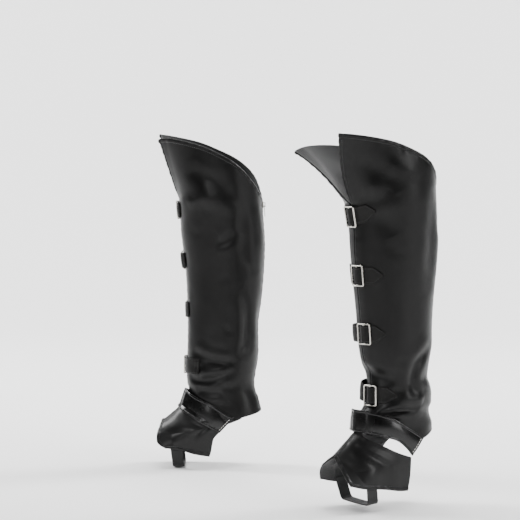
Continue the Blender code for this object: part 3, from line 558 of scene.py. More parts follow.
def edge_distances(points):
    """How far each point of a grid lies from its first and last columns and rows, in mm."""
    across = np.linalg.norm(np.diff(points, axis=1), axis=2) / MM
    up = np.linalg.norm(np.diff(points, axis=0), axis=2) / MM
    left = np.concatenate([np.zeros((len(points), 1)), np.cumsum(across, 1)], 1)
    low = np.concatenate([np.zeros((1, points.shape[1])), np.cumsum(up, 0)], 0)
    return left, left[:, -1:] - left, low, low[-1:] - low


def grid_normals(points, inside):
    """The way out of a grid of points, away from a point inside."""
    found = unit(np.cross(np.gradient(points, axis=1), np.gradient(points, axis=0)))
    outward = (found * (points - np.array(inside))).sum()
    return found if outward > 0 else -found


def grid_quads(points):
    """The places of a grid's points in a list of them, and its four-sided faces."""
    rows, columns = points.shape[:2]
    index = np.arange(rows * columns).reshape(rows, columns)
    quads = np.stack([index[:-1, :-1], index[:-1, 1:], index[1:, 1:], index[1:, :-1]], -1)
    return index, quads.reshape(-1, 4)


def shell(name, points, wall, finishes, inside, relief=0.0):
    """A cloth piece: a grid of outer points, the wall behind it, and its edges rounded."""
    out = grid_normals(points, inside)
    left, right, low, high = edge_distances(points)
    edge = np.minimum(np.minimum(left, right), np.minimum(low, high))
    radius = wall / 2
    fall = radius - np.sqrt(np.clip(radius**2 - np.clip(radius - edge, 0, None) ** 2, 0, None))
    relief = np.broadcast_to(relief, edge.shape)
    outer = points + out * (np.maximum(relief - fall, fall - wall) * MM)[..., None]
    inner = points + out * ((fall * 0.999 - wall) * MM)[..., None]
    index, quads = grid_quads(points)
    count = index.size
    rim = np.concatenate([index[0, :-1], index[:-1, -1], index[-1, :0:-1], index[:0:-1, 0]])
    ahead = np.roll(rim, -1)
    rims = np.stack([rim + count, ahead + count, ahead, rim], -1)
    faces = np.concatenate([quads, quads[:, ::-1] + count, rims])
    across = unit(np.cross(np.gradient(points, axis=1), np.gradient(points, axis=0)))
    if (across * out).sum() < 0:
        faces = faces[:, ::-1]
    mesh = bpy.data.meshes.new(name)
    mesh.from_pydata(np.concatenate([outer, inner]).reshape(-1, 3).tolist(), [], faces.tolist())
    for finish in finishes:
        mesh.materials.append(finish)
    slots = np.zeros(len(faces), np.int32)
    slots[len(quads) : 2 * len(quads)] = len(finishes) - 1
    mesh.polygons.foreach_set("material_index", slots)
    laid = np.stack([left, low], -1).reshape(-1, 2)
    laid = np.concatenate([laid, laid])[faces.ravel()]
    mesh.uv_layers.new(name="cut").data.foreach_set("uv", laid.ravel())
    mesh.shade_smooth()
    return new_object(name, mesh), outer, out


def tree_of(points, inside):
    """The grid's outer face as a tree of faces turned outward, for finding what lies near."""
    _, quads = grid_quads(points)
    across = np.cross(np.gradient(points, axis=1), np.gradient(points, axis=0))
    if (across * (points - np.array(inside))).sum() < 0:
        quads = quads[:, ::-1]
    return BVHTree.FromPolygons(points.reshape(-1, 3).tolist(), quads.tolist())


def stations(first, last, steps):
    """Places along a cut, as shares and millimetres: fine near both edges, even between."""
    shares = np.linspace(0, 1, steps + 1)[1:-1]
    between = [(share, first[-1] * (1 - share) - last[-1] * share) for share in shares]
    return np.array([(0, mm) for mm in first] + between + [(1, -mm) for mm in reversed(last)]).T


# Rows and columns lie closer near an edge, at these millimetres from it, to round it.
EDGE_STEPS = (0, 0.2, 0.5, 0.9, 1.5, 2.5, 3.7, 5.0, 6.0, 6.6, 7.2, 7.8, 8.6, 10)
ZIP_STEPS = (0, 0.2, 0.5, 0.9, 1.5, 2.1, 2.6, 3.1, 3.8, 5, 7)
SHAFT_COLUMNS = stations(EDGE_STEPS, ZIP_STEPS, 100)
SHAFT_ROWS = stations(EDGE_STEPS, EDGE_STEPS, 190)
SHAFT_RADIUS = 52
TURNED_WIDTH = 7.0
TURNED_RAISE = 0.9
TURNED_ROLL = 1.6
TURNED_SLOPE = 2.5
STITCH_SINK = 0.6
STITCH_GROOVE = 0.8
SEAM_STITCH = 3.0
ZIP_STITCH = 2.6
WAVE_HEIGHT = 0.28

# Polyurethane leather with a soft gloss: near black, with broad dim highlights on its folds.
shaft_leather = faux_leather("polyurethane leather, soft gloss", "#060606", "#0A0A0A", 0.4, 0.06)
# Brushed jersey behind the film: matt and slightly furry, its ribs running up the shaft. They
# are 1.2 mm apart, coarser than a real jersey's, so that they show.
lining_jersey = ridged_textile(
    "brushed black jersey",
    {"Base Color": linear("#101011"), "Roughness": 0.92, "Sheen Weight": 0.25},
    "UV",
    {"bands_direction": "X", "Distortion": 0.6, "Detail": 1.0},
    1.2,
    0.5,
    0.3,
)


def turned_edge(distance, width=TURNED_WIDTH):
    """The relief of a folded-in edge: a round fold, raised up to its sunken stitch line."""
    raised = TURNED_RAISE * (1 - smooth((distance - width + 1) / TURNED_SLOPE))
    raised *= 1 - np.exp(-((distance / TURNED_ROLL) ** 2))
    return raised - STITCH_SINK * np.exp(-(((distance - width) / STITCH_GROOVE) ** 2))


def edge_waves(distance, run, reach=9.0):
    """The uneven ripple that sewing pulls into a long edge, dying out away from it."""
    ripple = np.sin(run / 1.9 + 1.7 * np.sin(run / 23)) + 0.6 * np.sin(run / 3.1 + 0.6)
    return WAVE_HEIGHT * ripple * np.exp(-((distance / reach) ** 2))


def shaft_turn(cover, height):
    """The angle from the front seam to the panel's edge beside the zip."""
    return math.pi - ZIP_HALF_GAP / spline(cover.facts["sections"], height)[..., 2]


def make_shaft(cover, side):
    """One side panel, from the front seam round to the zip."""
    share, mm = SHAFT_COLUMNS
    around = share * math.pi + mm / SHAFT_RADIUS
    low = spline(HEM, np.degrees(around))[:, 0]
    high = spline(cover.facts["top_edge"], np.degrees(around))[:, 0 if side > 0 else 1]
    row_share, row_mm = SHAFT_ROWS
    slope = np.where(row_share[:, None] > 0.5, high, low)
    slope = np.clip(np.gradient(slope, around * SHAFT_RADIUS, axis=1), -1, 1)
    height = low + (high - low) * row_share[:, None] + row_mm[:, None] * np.hypot(1, slope)
    half = spline(cover.facts["sections"], height)[..., 2]
    angle = np.maximum(share * shaft_turn(cover, height) + mm / half, 1e-6)
    points = cover.room(cover.upright(side * angle, height))
    left, right, down, up = edge_distances(points)
    free = smooth((height - NOTCH_HEIGHT - 2) / 10)
    front = turned_edge(left) * free + (1 - free) * (turned_edge(left, SEAM_STITCH) * 0.5)
    relief = front + turned_edge(up) + turned_edge(right, ZIP_STITCH) * 0.8
    relief += edge_waves(left, down) * free + edge_waves(up, left) + 0.6 * edge_waves(right, down, 7)
    relief += 0.5 * edge_waves(left, down, 6) * (1 - free)
    inside = cover.middle()
    name = f"{cover.name}_shaft_{SIDES[side]}"
    finishes = (shaft_leather, lining_jersey)
    piece, outer, out = shell(name + "_leather", points, LEATHER_WALL, finishes, inside, relief)
    cover.surfaces.append(tree_of(points, inside))
    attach(piece, "covers")
    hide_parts(name)
    return {"points": outer, "out": out, "height": height[:, 0]}


covers = [Cover(name, facts) for name, facts in COVERS.items()]
shafts = {(cover.name, side): make_shaft(cover, side) for cover in covers for side in SIDES}


# Seams of the shaft: the panels are sewn face to face down the front and their allowances
# pressed flat inside, and bonded black thread runs beside the front, top and zip edges.

STITCH_PITCH = 3.4
STITCH_LENGTH = 2.5
THREAD_RADIUS = 0.24
THREAD_SIDES = 6
# Columns: share of the stitch's length, share of its radius, lift in radii
STITCH_RINGS = ((-0.5, 0.35, -0.5), (-0.3, 0.9, 0.25), (0, 1, 0.5), (0.3, 0.9, 0.25), (0.5, 0.35, -0.5))
ALLOWANCE_WIDTH = 13.0
ALLOWANCE_WALL = 0.7
ALLOWANCE_NARROWING = 0.85


def thread(name, colour):
    """Bonded polyester thread: a smooth filament with a slight gloss, which catches the light
    along its twist. The twist's turns are 0.8 mm, twice a real one's, so that they show."""
    settings = {"Base Color": linear(colour), "Roughness": 0.45}
    return ridged_textile(name, settings, "Object", {"Detail": 1.0}, 0.8 * MM, 0.4, 0.1)


# Drawn dark grey rather than black: a painted sheen, standing in for the glints that make the black stitch
# lines show.
black_thread = thread("bonded polyester thread, black", "#2A2A2C")


def path_on(grid, distance, wanted, axis):
    """The line across a grid of points at this distance, in mm, from one of its edges."""
    values, points, out = (np.moveaxis(a, axis, 0) for a in (distance, grid["points"], grid["out"]))
    picked, facing = [], []
    for row in range(values.shape[1]):
        order = np.argsort(values[:, row])
        for found, source in ((picked, points), (facing, out)):
            line = [np.interp(wanted, values[order, row], source[order, row, i]) for i in range(3)]
            found.append(line)
    return np.array(picked), unit(np.array(facing))


def stitched(name, lines, finish, slot, pitch=STITCH_PITCH, length=STITCH_LENGTH, radius=THREAD_RADIUS):
    """Rows of stitches, each a short bead of thread that dips into the cloth at its ends."""
    verts, faces = [], []
    last = (len(STITCH_RINGS) - 1) * THREAD_SIDES
    for path, facing in lines:
        steps = np.linalg.norm(np.diff(path, axis=0), axis=1) / MM
        run = np.concatenate([[0], np.cumsum(steps)])
        for middle in np.arange(pitch / 2, run[-1] - pitch / 2, pitch):
            ends = [np.array([np.interp(middle + s, run, path[:, i]) for i in range(3)]) for s in (-1, 1)]
            way = unit(ends[1] - ends[0])
            centre = (ends[0] + ends[1]) / 2
            up = unit(np.array([np.interp(middle, run, facing[:, i]) for i in range(3)]))
            across = np.cross(way, up)
            base = len(verts)
            for share, thick, lift in STITCH_RINGS:
                spot = centre + (way * share * length + up * lift * radius) * MM
                for k in range(THREAD_SIDES):
                    turn = 2 * math.pi * k / THREAD_SIDES
                    ring = across * math.cos(turn) + up * math.sin(turn)
                    verts.append(spot + ring * thick * radius * MM)
            for ring in range(base, base + last, THREAD_SIDES):
                for k in range(THREAD_SIDES):
                    a, b = ring + k, ring + (k + 1) % THREAD_SIDES
                    faces.append((a, b, b + THREAD_SIDES, a + THREAD_SIDES))
            faces.append(tuple(base + k for k in range(THREAD_SIDES)))
            faces.append(tuple(base + last + k for k in reversed(range(THREAD_SIDES))))
    mesh = bpy.data.meshes.new(name)
    mesh.from_pydata([tuple(v) for v in verts], [], faces)
    mesh.materials.append(finish)
    mesh.shade_smooth()
    made = new_object(name, mesh)
    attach(made, "covers")


for cover in covers:
    lines = []
    for side in SIDES:
        panel = shafts[cover.name, side]
        left, right, low, high = edge_distances(panel["points"])
        height = panel["height"]
        kept = (
            (high, TURNED_WIDTH, 0, (left[-1] > TURNED_WIDTH) & (right[-1] > SEAM_STITCH)),
            (right, ZIP_STITCH, 1, slice(12, -10)),
            (left, TURNED_WIDTH, 1, (height > NOTCH_HEIGHT + 9) & (high[:, 0] > TURNED_WIDTH)),
            (left, SEAM_STITCH, 1, (height < NOTCH_HEIGHT - 2) & (low[:, 0] > SEAM_STITCH)),
        )
        for distance, wanted, axis, part in kept:
            line, facing = path_on(panel, distance, wanted, axis)
            lines.append((line[part], facing[part]))
    stitched(f"{cover.name}_shaft_stitches", lines, black_thread, "shaft_faux_leather")
    heights = np.linspace(HEM[0][1] + 1.5, NOTCH_HEIGHT - 1.5, 120)
    across = np.radians(np.linspace(-1, 1, 13) * ALLOWANCE_WIDTH / 2 / ALLOWANCE_NARROWING)
    angle, height = np.meshgrid(across, heights)
    strip = cover.skin(angle + 1e-6, height, np.full(angle.shape, -LEATHER_WALL - SEAM_GAP / 2))
    name = f"{cover.name}_front_allowance"
    piece, _, _ = shell(name, strip, ALLOWANCE_WALL, (lining_jersey,), cover.middle())
    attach(piece, "covers")


# Zip: a nickel-plated metal zip down the back of each cover, its two woven polyester tapes
# sewn behind the panels' edges, closed, with its slider near the top.

ZIP_TOP = 441.0
TAPE_WALL = 1.0
TAPE_GAP = 0.8
TAPE_WIDTH = 11.0
TAPE_UNDER_TEETH = 0.6
TAPE_SELVEDGE = 0.8
TEETH_WIDTH = 4.6
TEETH_THICK = 2.0
TEETH_PITCH = 2.6
# Columns: depth, share of the tooth's full width
TOOTH_RINGS = ((-TEETH_THICK / 2, 1), (0.35 * TEETH_THICK, 1), (TEETH_THICK / 2, 0.75))
# Columns: sideways from the zip's middle, share of half the pitch
TOOTH_CORNERS = ((-0.9, -0.45), (TEETH_WIDTH / 2, -0.55), (TEETH_WIDTH / 2, 0.55), (-0.9, 0.45))


def nickel_plate(name, colour, roughness, scuffs):
    """Nickel plating: warm silver, softly mirror-like, with scuffs of this width that dull it."""
    made, tree, shader = new_material(name, {"Base Color": linear(colour), "Metallic": 1.0})
    place = add_node(tree, "ShaderNodeTexCoord", {}).outputs["Object"]
    spots = {"Scale": 1 / (scuffs * MM), "Detail": 4.0}
    scuffed = add_node(tree, "ShaderNodeTexNoise", spots, Vector=place).outputs["Fac"]
    shine = {"From Min": 0.3, "From Max": 0.7, "To Min": roughness - 0.06, "To Max": roughness + 0.1}
    worn = add_node(tree, "ShaderNodeMapRange", shine, Value=scuffed)
    tree.links.new(worn.outputs["Result"], shader.inputs["Roughness"])
    return made


zip_nickel = nickel_plate("nickel-plated brass, zip", "#A3A19B", 0.3, 1.5)
# Herringbone polyester tape: matt, with its warp cords running up it 0.8 mm apart.
zip_tape = ridged_textile(
    "woven polyester zip tape",
    {"Base Color": linear("#0B0B0C"), "Roughness": 0.8, "Sheen Weight": 0.15},
    "UV",
    {"bands_direction": "X"},
    0.8,
    0.6,
    0.25,
)


def back_line(cover, height, across, out):
    """Points behind the zip's middle line, moved sideways and out, in millimetres."""
    height = np.asarray(height, float)
    front, back, half = np.moveaxis(spline(cover.facts["sections"], height), -1, 0)
    upright = cover.upright(np.full(height.shape, math.pi - 1e-6), height)
    base = cover.room(upright - np.array((0, SEAM_GAP / 2, 0)))
    out = out - across * across * (front - back) / (4 * half * half)
    sideways = cover.lateral * np.asarray(across)[..., None]
    return base + (sideways - cover.forward * out[..., None]) * MM


def make_zip(cover):
    """The two tapes, and the closed teeth as a row of blocks from either side in turn."""
    low, top = HEM[-1][1] + 1, ZIP_TOP
    heights = np.linspace(low, top, 150)
    for side in SIDES:
        across, height = np.meshgrid(np.linspace(0, 1, 9), heights)
        across = side * (TEETH_WIDTH / 2 - TAPE_UNDER_TEETH + across * (TAPE_WIDTH + TAPE_SELVEDGE))
        tape = back_line(cover, height, across, np.full(height.shape, -LEATHER_WALL - TAPE_GAP))
        name = f"{cover.name}_zip_tape_{SIDES[side]}"
        piece, _, _ = shell(name + "_woven", tape, TAPE_WALL, (zip_tape,), cover.middle())
        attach(piece, "covers")
        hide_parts(name)
    verts, faces = [], []
    count = int((top - low) / (TEETH_PITCH / 2))
    spots = low + (np.arange(count) + 0.5) * (top - low) / count
    middle = back_line(cover, spots, np.zeros(count), np.full(count, -LEATHER_WALL))
    for number, (centre, way) in enumerate(zip(middle, unit(np.gradient(middle, axis=0)))):
        side = 1 if number % 2 else -1
        out = unit(np.cross(cover.lateral, way))
        out = out if out @ -cover.forward > 0 else -out
        base = len(verts)
        for depth, width in TOOTH_RINGS:
            for x, y in TOOTH_CORNERS:
                spot = cover.lateral * side * x * (width if x > 0 else 1) + way * y * width * TEETH_PITCH / 2
                verts.append(centre + (spot + out * depth) * MM)
        for ring in (0, 4):
            for k in range(4):
                a, b = base + ring + k, base + ring + (k + 1) % 4
                faces.append((a, b, b + 4, a + 4))
        faces += [(base + 3, base + 2, base + 1, base), (base + 8, base + 9, base + 10, base + 11)]
    mesh = bpy.data.meshes.new("zip teeth")
    mesh.from_pydata([tuple(v) for v in verts], [], faces)
    shape = bmesh.new()
    shape.from_mesh(mesh)
    bmesh.ops.recalc_face_normals(shape, faces=shape.faces)
    shape.to_mesh(mesh)
    shape.free()
    mesh.materials.append(zip_nickel)
    piece = new_object(f"{cover.name}_zip_teeth_row", mesh)
    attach(piece, "covers")
    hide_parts(f"{cover.name}_zip_teeth")
    for part in ("slider", "pull"):
        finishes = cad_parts[f"{cover.name}_zip_{part}"].data.materials
        finishes.clear()
        finishes.append(zip_nickel)


for cover in covers:
    make_zip(cover)


# Straps: strips of matt faux leather, folded double and topstitched, sewn on at one end. Each
# passes under its buckle's outer bars and over the middle one, and ends in a point.

LAY_GAP = 0.4
STRAP_WALL = 1.6
STRAP_WIDTH = 25.0
STRAP_POINT = 14.0
BUCKLE_WIDTH = 23.5
BUCKLE_HEIGHT = 31.0
BUCKLE_BAR = 2.6
BUCKLE_RIM = 2.0
BUCKLE_THICK = 2.4
HUMP_HALF = 8.6
BAR_HALF = 1.6
STRAP_PLAY = 0.15
BAR_PLAY = 0.35
SLACK_END = 11
STRAP_TAPER = 0.85
STRAP_STITCH_IN = 2.5
BOX_STITCH_IN = 8
# Columns: pitch, length and radius of the straps' finer stitches
STRAP_STITCHES = (2.6, 1.9, 0.2)
# How much higher a strap's tip lies than its buckle, by cover and number.
TAIL_RISE = {("left", 4): 7.0}

# Straps from the bottom up; arcs are measured round from the front seam, lateral positive.
# Columns: height, arc to the sewn end, to the buckle, to the tip, how far it stands proud
# before the buckle, how much higher its sewn end lies
RIGHT_STRAPS = (
    (167.5, -40, 13, 47, 2.5, 0),
    (259.7, -15, 24, 58, 2.5, 0),
    (341, -14, 17, 52, 4.5, 0),
    (424, -14, 12, 46, 2.5, 0),
)
LEFT_STRAPS = (
    (167, -40, 6.5, 43, 8.0, 4),
    (257.5, -36, 8.5, 40, 5.0, 0),
    (342, -18, 5, 44, 2.0, 2),
    (427, -18, -1.5, 41, 1.5, 2),
)
STRAPS = {"right": RIGHT_STRAPS, "left": LEFT_STRAPS}
STRAP_EDGE_STEPS = (0, 0.2, 0.45, 0.8, 1.3, 1.9, 2.5, 3.1, 3.9)
STRAP_COLUMNS = stations(STRAP_EDGE_STEPS, STRAP_EDGE_STEPS, 90)
STRAP_ROWS = stations(STRAP_EDGE_STEPS, STRAP_EDGE_STEPS, 12)

strap_leather = faux_leather("polyurethane leather, matt strap", "#0A0A09", "#100F0E", 0.46, 0.03)


def buckle_seat(cover, strap):
    """How far the flat buckle stands out, so that the strap fits under its outer bars, its
    middle, and the ways across and out of it."""
    height, _, arc = strap[:3]
    angle = cover.arc_angle(arc, height)
    middle, out = cover.skin(angle, height), cover.normal(angle, height)
    rise = 0.0
    for across in (-1, -0.8, 0, 0.8, 1):
        cloth = 0 if across == 0 else LAY_GAP + STRAP_WALL + BAR_PLAY
        there = cover.arc_angle(arc + across * BUCKLE_WIDTH / 2, height)
        for up in (-1, -0.5, 0, 0.5, 1):
            point = cover.clear(cover.skin(there, height + up * BUCKLE_HEIGHT / 2), 0)
            rise = max(rise, (point - middle) @ out / MM + cloth)
    rise += LAY_GAP
    before, after = cover.arc_angle(arc - 2, height), cover.arc_angle(arc + 2, height)
    across = cover.skin(after, height) - cover.skin(before, height)
    return rise, middle + out * (rise + BUCKLE_THICK / 2) * MM, unit(across), out


def make_strap(cover, number, strap, seat):
    """One strap, laid on the shaft, lifted over the middle bar and flattened in the buckle."""
    height, root, arc, tip, proud, slant = strap
    rise, centre, across, out = seat
    hump = rise + BUCKLE_THICK + STRAP_PLAY
    slack = arc - SLACK_END
    share, mm = STRAP_COLUMNS
    row_share, row_mm = STRAP_ROWS
    s, v = np.meshgrid(root + share * (tip - root) + mm, row_share + row_mm / STRAP_WIDTH)
    past = np.clip(s - (tip - STRAP_POINT), 0, None) / STRAP_POINT
    away = np.clip((arc - HUMP_HALF - s) / (arc - HUMP_HALF - root), 0, 1)
    half = (STRAP_WIDTH / 2 + slant * smooth(away)) * (1 - STRAP_TAPER * past)
    fall = np.clip((np.abs(s - arc) - BAR_HALF) / (HUMP_HALF - BAR_HALF), 0, 1)
    lift = hump * np.cos(math.pi / 2 * fall) ** 2
    before = np.clip((s - root) / (slack - root), 0, 1)
    lift += proud * np.sin(math.pi * before) * (s < slack) * (1 - 0.15 * (2 * v - 1) ** 2)
    z = height + slant * smooth(away) + (2 * v - 1) * half
    z = z + TAIL_RISE.get((cover.name, number), 0) * smooth((s - arc) / (tip - arc))
    place = cover.skin(cover.arc_angle(s, height), z, LAY_GAP + STRAP_WALL + lift)
    cover.clear(place, LAY_GAP + STRAP_WALL + 0.25)
    across = unit(across - out * (across @ out))
    upward = np.cross(out, across)
    upward = upward if upward[2] > 0 else -upward
    over_bar = lift - hump + BUCKLE_THICK / 2 + LAY_GAP + STRAP_WALL + STRAP_PLAY
    parts = ((s - arc, across), ((2 * v - 1) * half, upward), (over_bar, out))
    level = centre + sum(part[..., None] * way for part, way in parts) * MM
    hold = smooth((HUMP_HALF - np.abs(s - arc)) / (0.5 * HUMP_HALF))[..., None]
    place += (level - place) * hold
    left, right, low, high = edge_distances(place)
    edge = np.minimum(np.minimum(low, high), np.minimum(left + 3, right))
    relief = 0.12 * turned_edge(edge, STRAP_STITCH_IN) + 0.06 * np.sin(s / 2.6) * np.exp(-edge / 4)
    name = f"{cover.name}_strap_{number}"
    finishes = (strap_leather,)
    piece, outer, out = shell(name + "_leather", place, STRAP_WALL, finishes, cover.middle(height), relief)
    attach(piece, "covers")
    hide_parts(name)
    grid = {"points": outer, "out": out}
    lines = []
    for distance in (low, high):
        line, facing = path_on(grid, distance, STRAP_STITCH_IN, 0)
        keep = (left[0] > 2) & (right[0] > 5)
        lines.append((line[keep], facing[keep]))
    for wanted in (STRAP_STITCH_IN, BOX_STITCH_IN):
        line, facing = path_on(grid, left, wanted, 1)
        lines.append((line[6:-6], facing[6:-6]))
    stitched(name + "_stitches", lines, black_thread, "strap_faux_leather", *STRAP_STITCHES)


# Buckles: flat die-cast frames with a middle bar, their edges rounded by the mould, nickel
# plated and lightly brushed. The strap holds each by its middle bar.

BUCKLE_CORNER = 3.0
BUCKLE_ROUND = 0.8
SLOT_CORNER = 1.1

buckle_nickel = nickel_plate("nickel-plated zinc, buckle", "#CBC8C1", 0.24, 2.5)


def rounded_box(width, height, corner, steps):
    """The outline of a rectangle with round corners, anticlockwise."""
    points = []
    for quarter in range(4):
        cx = (width / 2 - corner) * (1 if quarter in (0, 3) else -1)
        cy = (height / 2 - corner) * (1 if quarter in (0, 1) else -1)
        for step in range(steps + 1):
            turn = math.pi / 2 * (quarter + step / steps)
            points.append((cx + corner * math.cos(turn), cy + corner * math.sin(turn)))
    return points


def frame_at(origin, across, out):
    """A placing matrix with its X across, its Y up along the cloth and its Z out of it."""
    out, across = Vector(out).normalized(), Vector(across)
    across = (across - out * across.dot(out)).normalized()
    turn = Matrix((across, out.cross(across), out)).transposed().to_4x4()
    return Matrix.Translation(Vector(origin)) @ turn


def make_buckle(cover, number, seat):
    """One flat frame with two slots, bevelled all round, in its seat."""
    _, origin, across, out = seat
    slot_width = (BUCKLE_WIDTH - BUCKLE_BAR) / 2 - BUCKLE_RIM
    slot_height = BUCKLE_HEIGHT - 2 * BUCKLE_RIM
    outlines = [rounded_box(BUCKLE_WIDTH, BUCKLE_HEIGHT, BUCKLE_CORNER, 6)]
    for way in (-1, 1):
        middle = way * (BUCKLE_BAR + slot_width) / 2
        outlines.append([(x + middle, y) for x, y in rounded_box(slot_width, slot_height, SLOT_CORNER, 3)])
    name = f"{cover.name}_buckle_{number}"
    curve = bpy.data.curves.new(name, "CURVE")
    curve.dimensions = "2D"
    curve.fill_mode = "BOTH"
    curve.extrude = (BUCKLE_THICK / 2 - BUCKLE_ROUND) * MM
    curve.bevel_depth = BUCKLE_ROUND * MM
    curve.bevel_resolution = 3
    curve.offset = -BUCKLE_ROUND * MM
    for outline in outlines:
        line = curve.splines.new("POLY")
        line.points.add(len(outline) - 1)
        for point, (x, y) in zip(line.points, outline):
            point.co = (x * MM, y * MM, 0, 1)
        line.use_cyclic_u = True
    curve.materials.append(buckle_nickel)
    piece = new_object(name + "_frame", curve)
    piece.matrix_world = frame_at(origin, across if cover.name == "left" else -across, out)
    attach(piece, "covers")
    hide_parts(name)


for cover in covers:
    for number, strap in enumerate(STRAPS[cover.name], 1):
        seat = buckle_seat(cover, strap)
        make_strap(cover, number, strap, seat)
        make_buckle(cover, number, seat)


# Spat: the lowest piece, two panels of faux leather sewn together along a ridge at the front,
# with their other edges turned in and stitched. It hangs from the shaft's hem.

HEM_GAP = 0.5

# The spat's edges on one side: ridge and bottom from front to back, front from the ridge
# down, top from the ridge back, and back from the top down.
# Columns: forward, sideways, height
RIGHT_SPAT_RIDGE = ((100.2, 0, 75.5), (94.7, 0, 78.6), (86.4, 0, 85.2), (78.1, 0, 92))
RIGHT_SPAT_FRONT = (
    (100.2, 0, 75.5),
    (102.5, 9, 70.5),
    (104.5, 17, 64.5),
    (106.8, 26, 57.2),
    (106.4, 34, 44.5),
    (101, 38, 38.5),
    (92.3, 40, 33.9),
)
RIGHT_SPAT_BOTTOM = ((92.3, 40, 33.9), (68.7, 40, 30.6), (44.1, 37, 23), (20.2, 34, 18.6))
RIGHT_SPAT_BACK = ((-8, 37.5, 72), (5, 37.5, 58), (13, 36.5, 48), (17, 35.5, 28), (20.2, 34, 18.6))
LEFT_SPAT_RIDGE = ((116.1, 0, 75), (104, 0, 83.6), (92.6, 0, 91.7), (79.3, 0, 102.9))
LEFT_SPAT_FRONT = (
    (116.1, 0, 75),
    (118, 11, 67),
    (119, 22, 57.4),
    (118.6, 31, 47),
    (117, 38, 38.5),
)
LEFT_SPAT_BOTTOM = ((117, 38, 38.5), (92.5, 40, 29.5), (59.5, 38, 22), (29.7, 36, 13.5), (14, 35, 11))
LEFT_SPAT_BACK = ((-8, 37.5, 72), (5, 38.5, 57), (8.6, 36.5, 34), (14, 35, 11))
LEFT_SPAT_OPEN_TOP = ((72, 17, 99), (49.1, 31, 83.1), (27.3, 37, 69.8), (6.5, 39, 60))
LEFT_SPAT_OPEN_BACK = ((8.6, 36.5, 34), (14, 35, 11))

# The largest folds of the spat, down from its ridge and back from its front edge.
# Columns: down and back where it starts, where it ends, depth, width, as shares
SPAT_FOLDS = (
    (0.20, 0.10, 0.98, 0.20, -2.6, 0.07),
    (0.30, 0.44, 0.95, 0.36, 1.6, 0.10),
    (0.34, 0.62, 0.92, 0.60, -1.4, 0.10),
)
# The softer creases between those folds, in the same columns.
SPAT_CREASES = (
    (0.45, 0.12, 0.96, 0.26, -1.0, 0.03),
    (0.05, 0.48, 0.99, 0.44, 1.0, 0.12),
    (0.05, 0.78, 0.95, 0.72, 1.0, 0.10),
)
SPATS = {
    "left": {
        "ridge": LEFT_SPAT_RIDGE,
        "front": LEFT_SPAT_FRONT,
        "bottom": LEFT_SPAT_BOTTOM,
        "top": {1: LEFT_SPAT_OPEN_TOP, -1: None},
        "back": {1: LEFT_SPAT_OPEN_BACK, -1: LEFT_SPAT_BACK},
        "reach": {1: 0.0, -1: 5.0},
    },
    "right": {
        "ridge": RIGHT_SPAT_RIDGE,
        "front": RIGHT_SPAT_FRONT,
        "bottom": RIGHT_SPAT_BOTTOM,
        "top": {1: None, -1: None},
        "back": {1: RIGHT_SPAT_BACK, -1: RIGHT_SPAT_BACK},
        "reach": {1: 0.0, -1: 0.0},
    },
}
SPAT_CORNER = 0.6
SPAT_DEPTH = 105
SPAT_LENGTH = 80
SPAT_BULGE = 4.0
SPAT_STITCH_IN = 5.5
SPAT_HEM_SHARE = 0.6902
# How much softer than its table each large fold is drawn, and how far from the front and back
# edges, and how often, the cloth between them is eased.
SPAT_FOLD_EASE = 0.6
SPAT_EASE = 0.22
SPAT_EASE_ROUNDS = 140
SPAT_COLUMNS = stations(EDGE_STEPS, EDGE_STEPS, 90)
SPAT_ROWS = stations(EDGE_STEPS, EDGE_STEPS, 60)

# Drawn a little lighter than the shaft's leather: partly the spat's own greyer tone, partly a painted sheen
# for the broad soft highlights on it.
spat_leather = faux_leather("polyurethane leather, spat", "#0D0D0D", "#121212", 0.43, 0.12)


def hem_point(cover, share, side, drop):
    """Upright points just below the shaft's hem, a share of the way round to the zip."""
    share = np.asarray(share, float)
    height = spline(HEM, np.degrees(share * math.pi))[..., 0]
    angle = side * np.maximum(share * shaft_turn(cover, height), 1e-6)
    point = cover.upright(angle, height)
    return np.stack([point[..., 0], np.abs(point[..., 1]), point[..., 2] - drop], -1)


def spat_back_edge(cover, side, u):
    """The spat's top edge, along the hem or below it, and then its back edge down."""
    facts, drop = SPATS[cover.name], SEAM_GAP + HEM_GAP
    opened = facts["top"][side]
    if opened:
        edge = (tuple(hem_point(cover, 0.0, side, drop)), *opened)
        top, corner = along(edge, np.clip(u / SPAT_CORNER, 0, 1)), opened[-1]
    else:
        top = hem_point(cover, SPAT_HEM_SHARE * np.clip(u / SPAT_CORNER, 0, 1), side, drop)
        corner = tuple(hem_point(cover, SPAT_HEM_SHARE, side, drop))
    share = np.clip((u - SPAT_CORNER) / (1 - SPAT_CORNER), 0, 1)
    down = along((corner, *facts["back"][side]), share)
    return np.where((u <= SPAT_CORNER)[..., None], top, down)


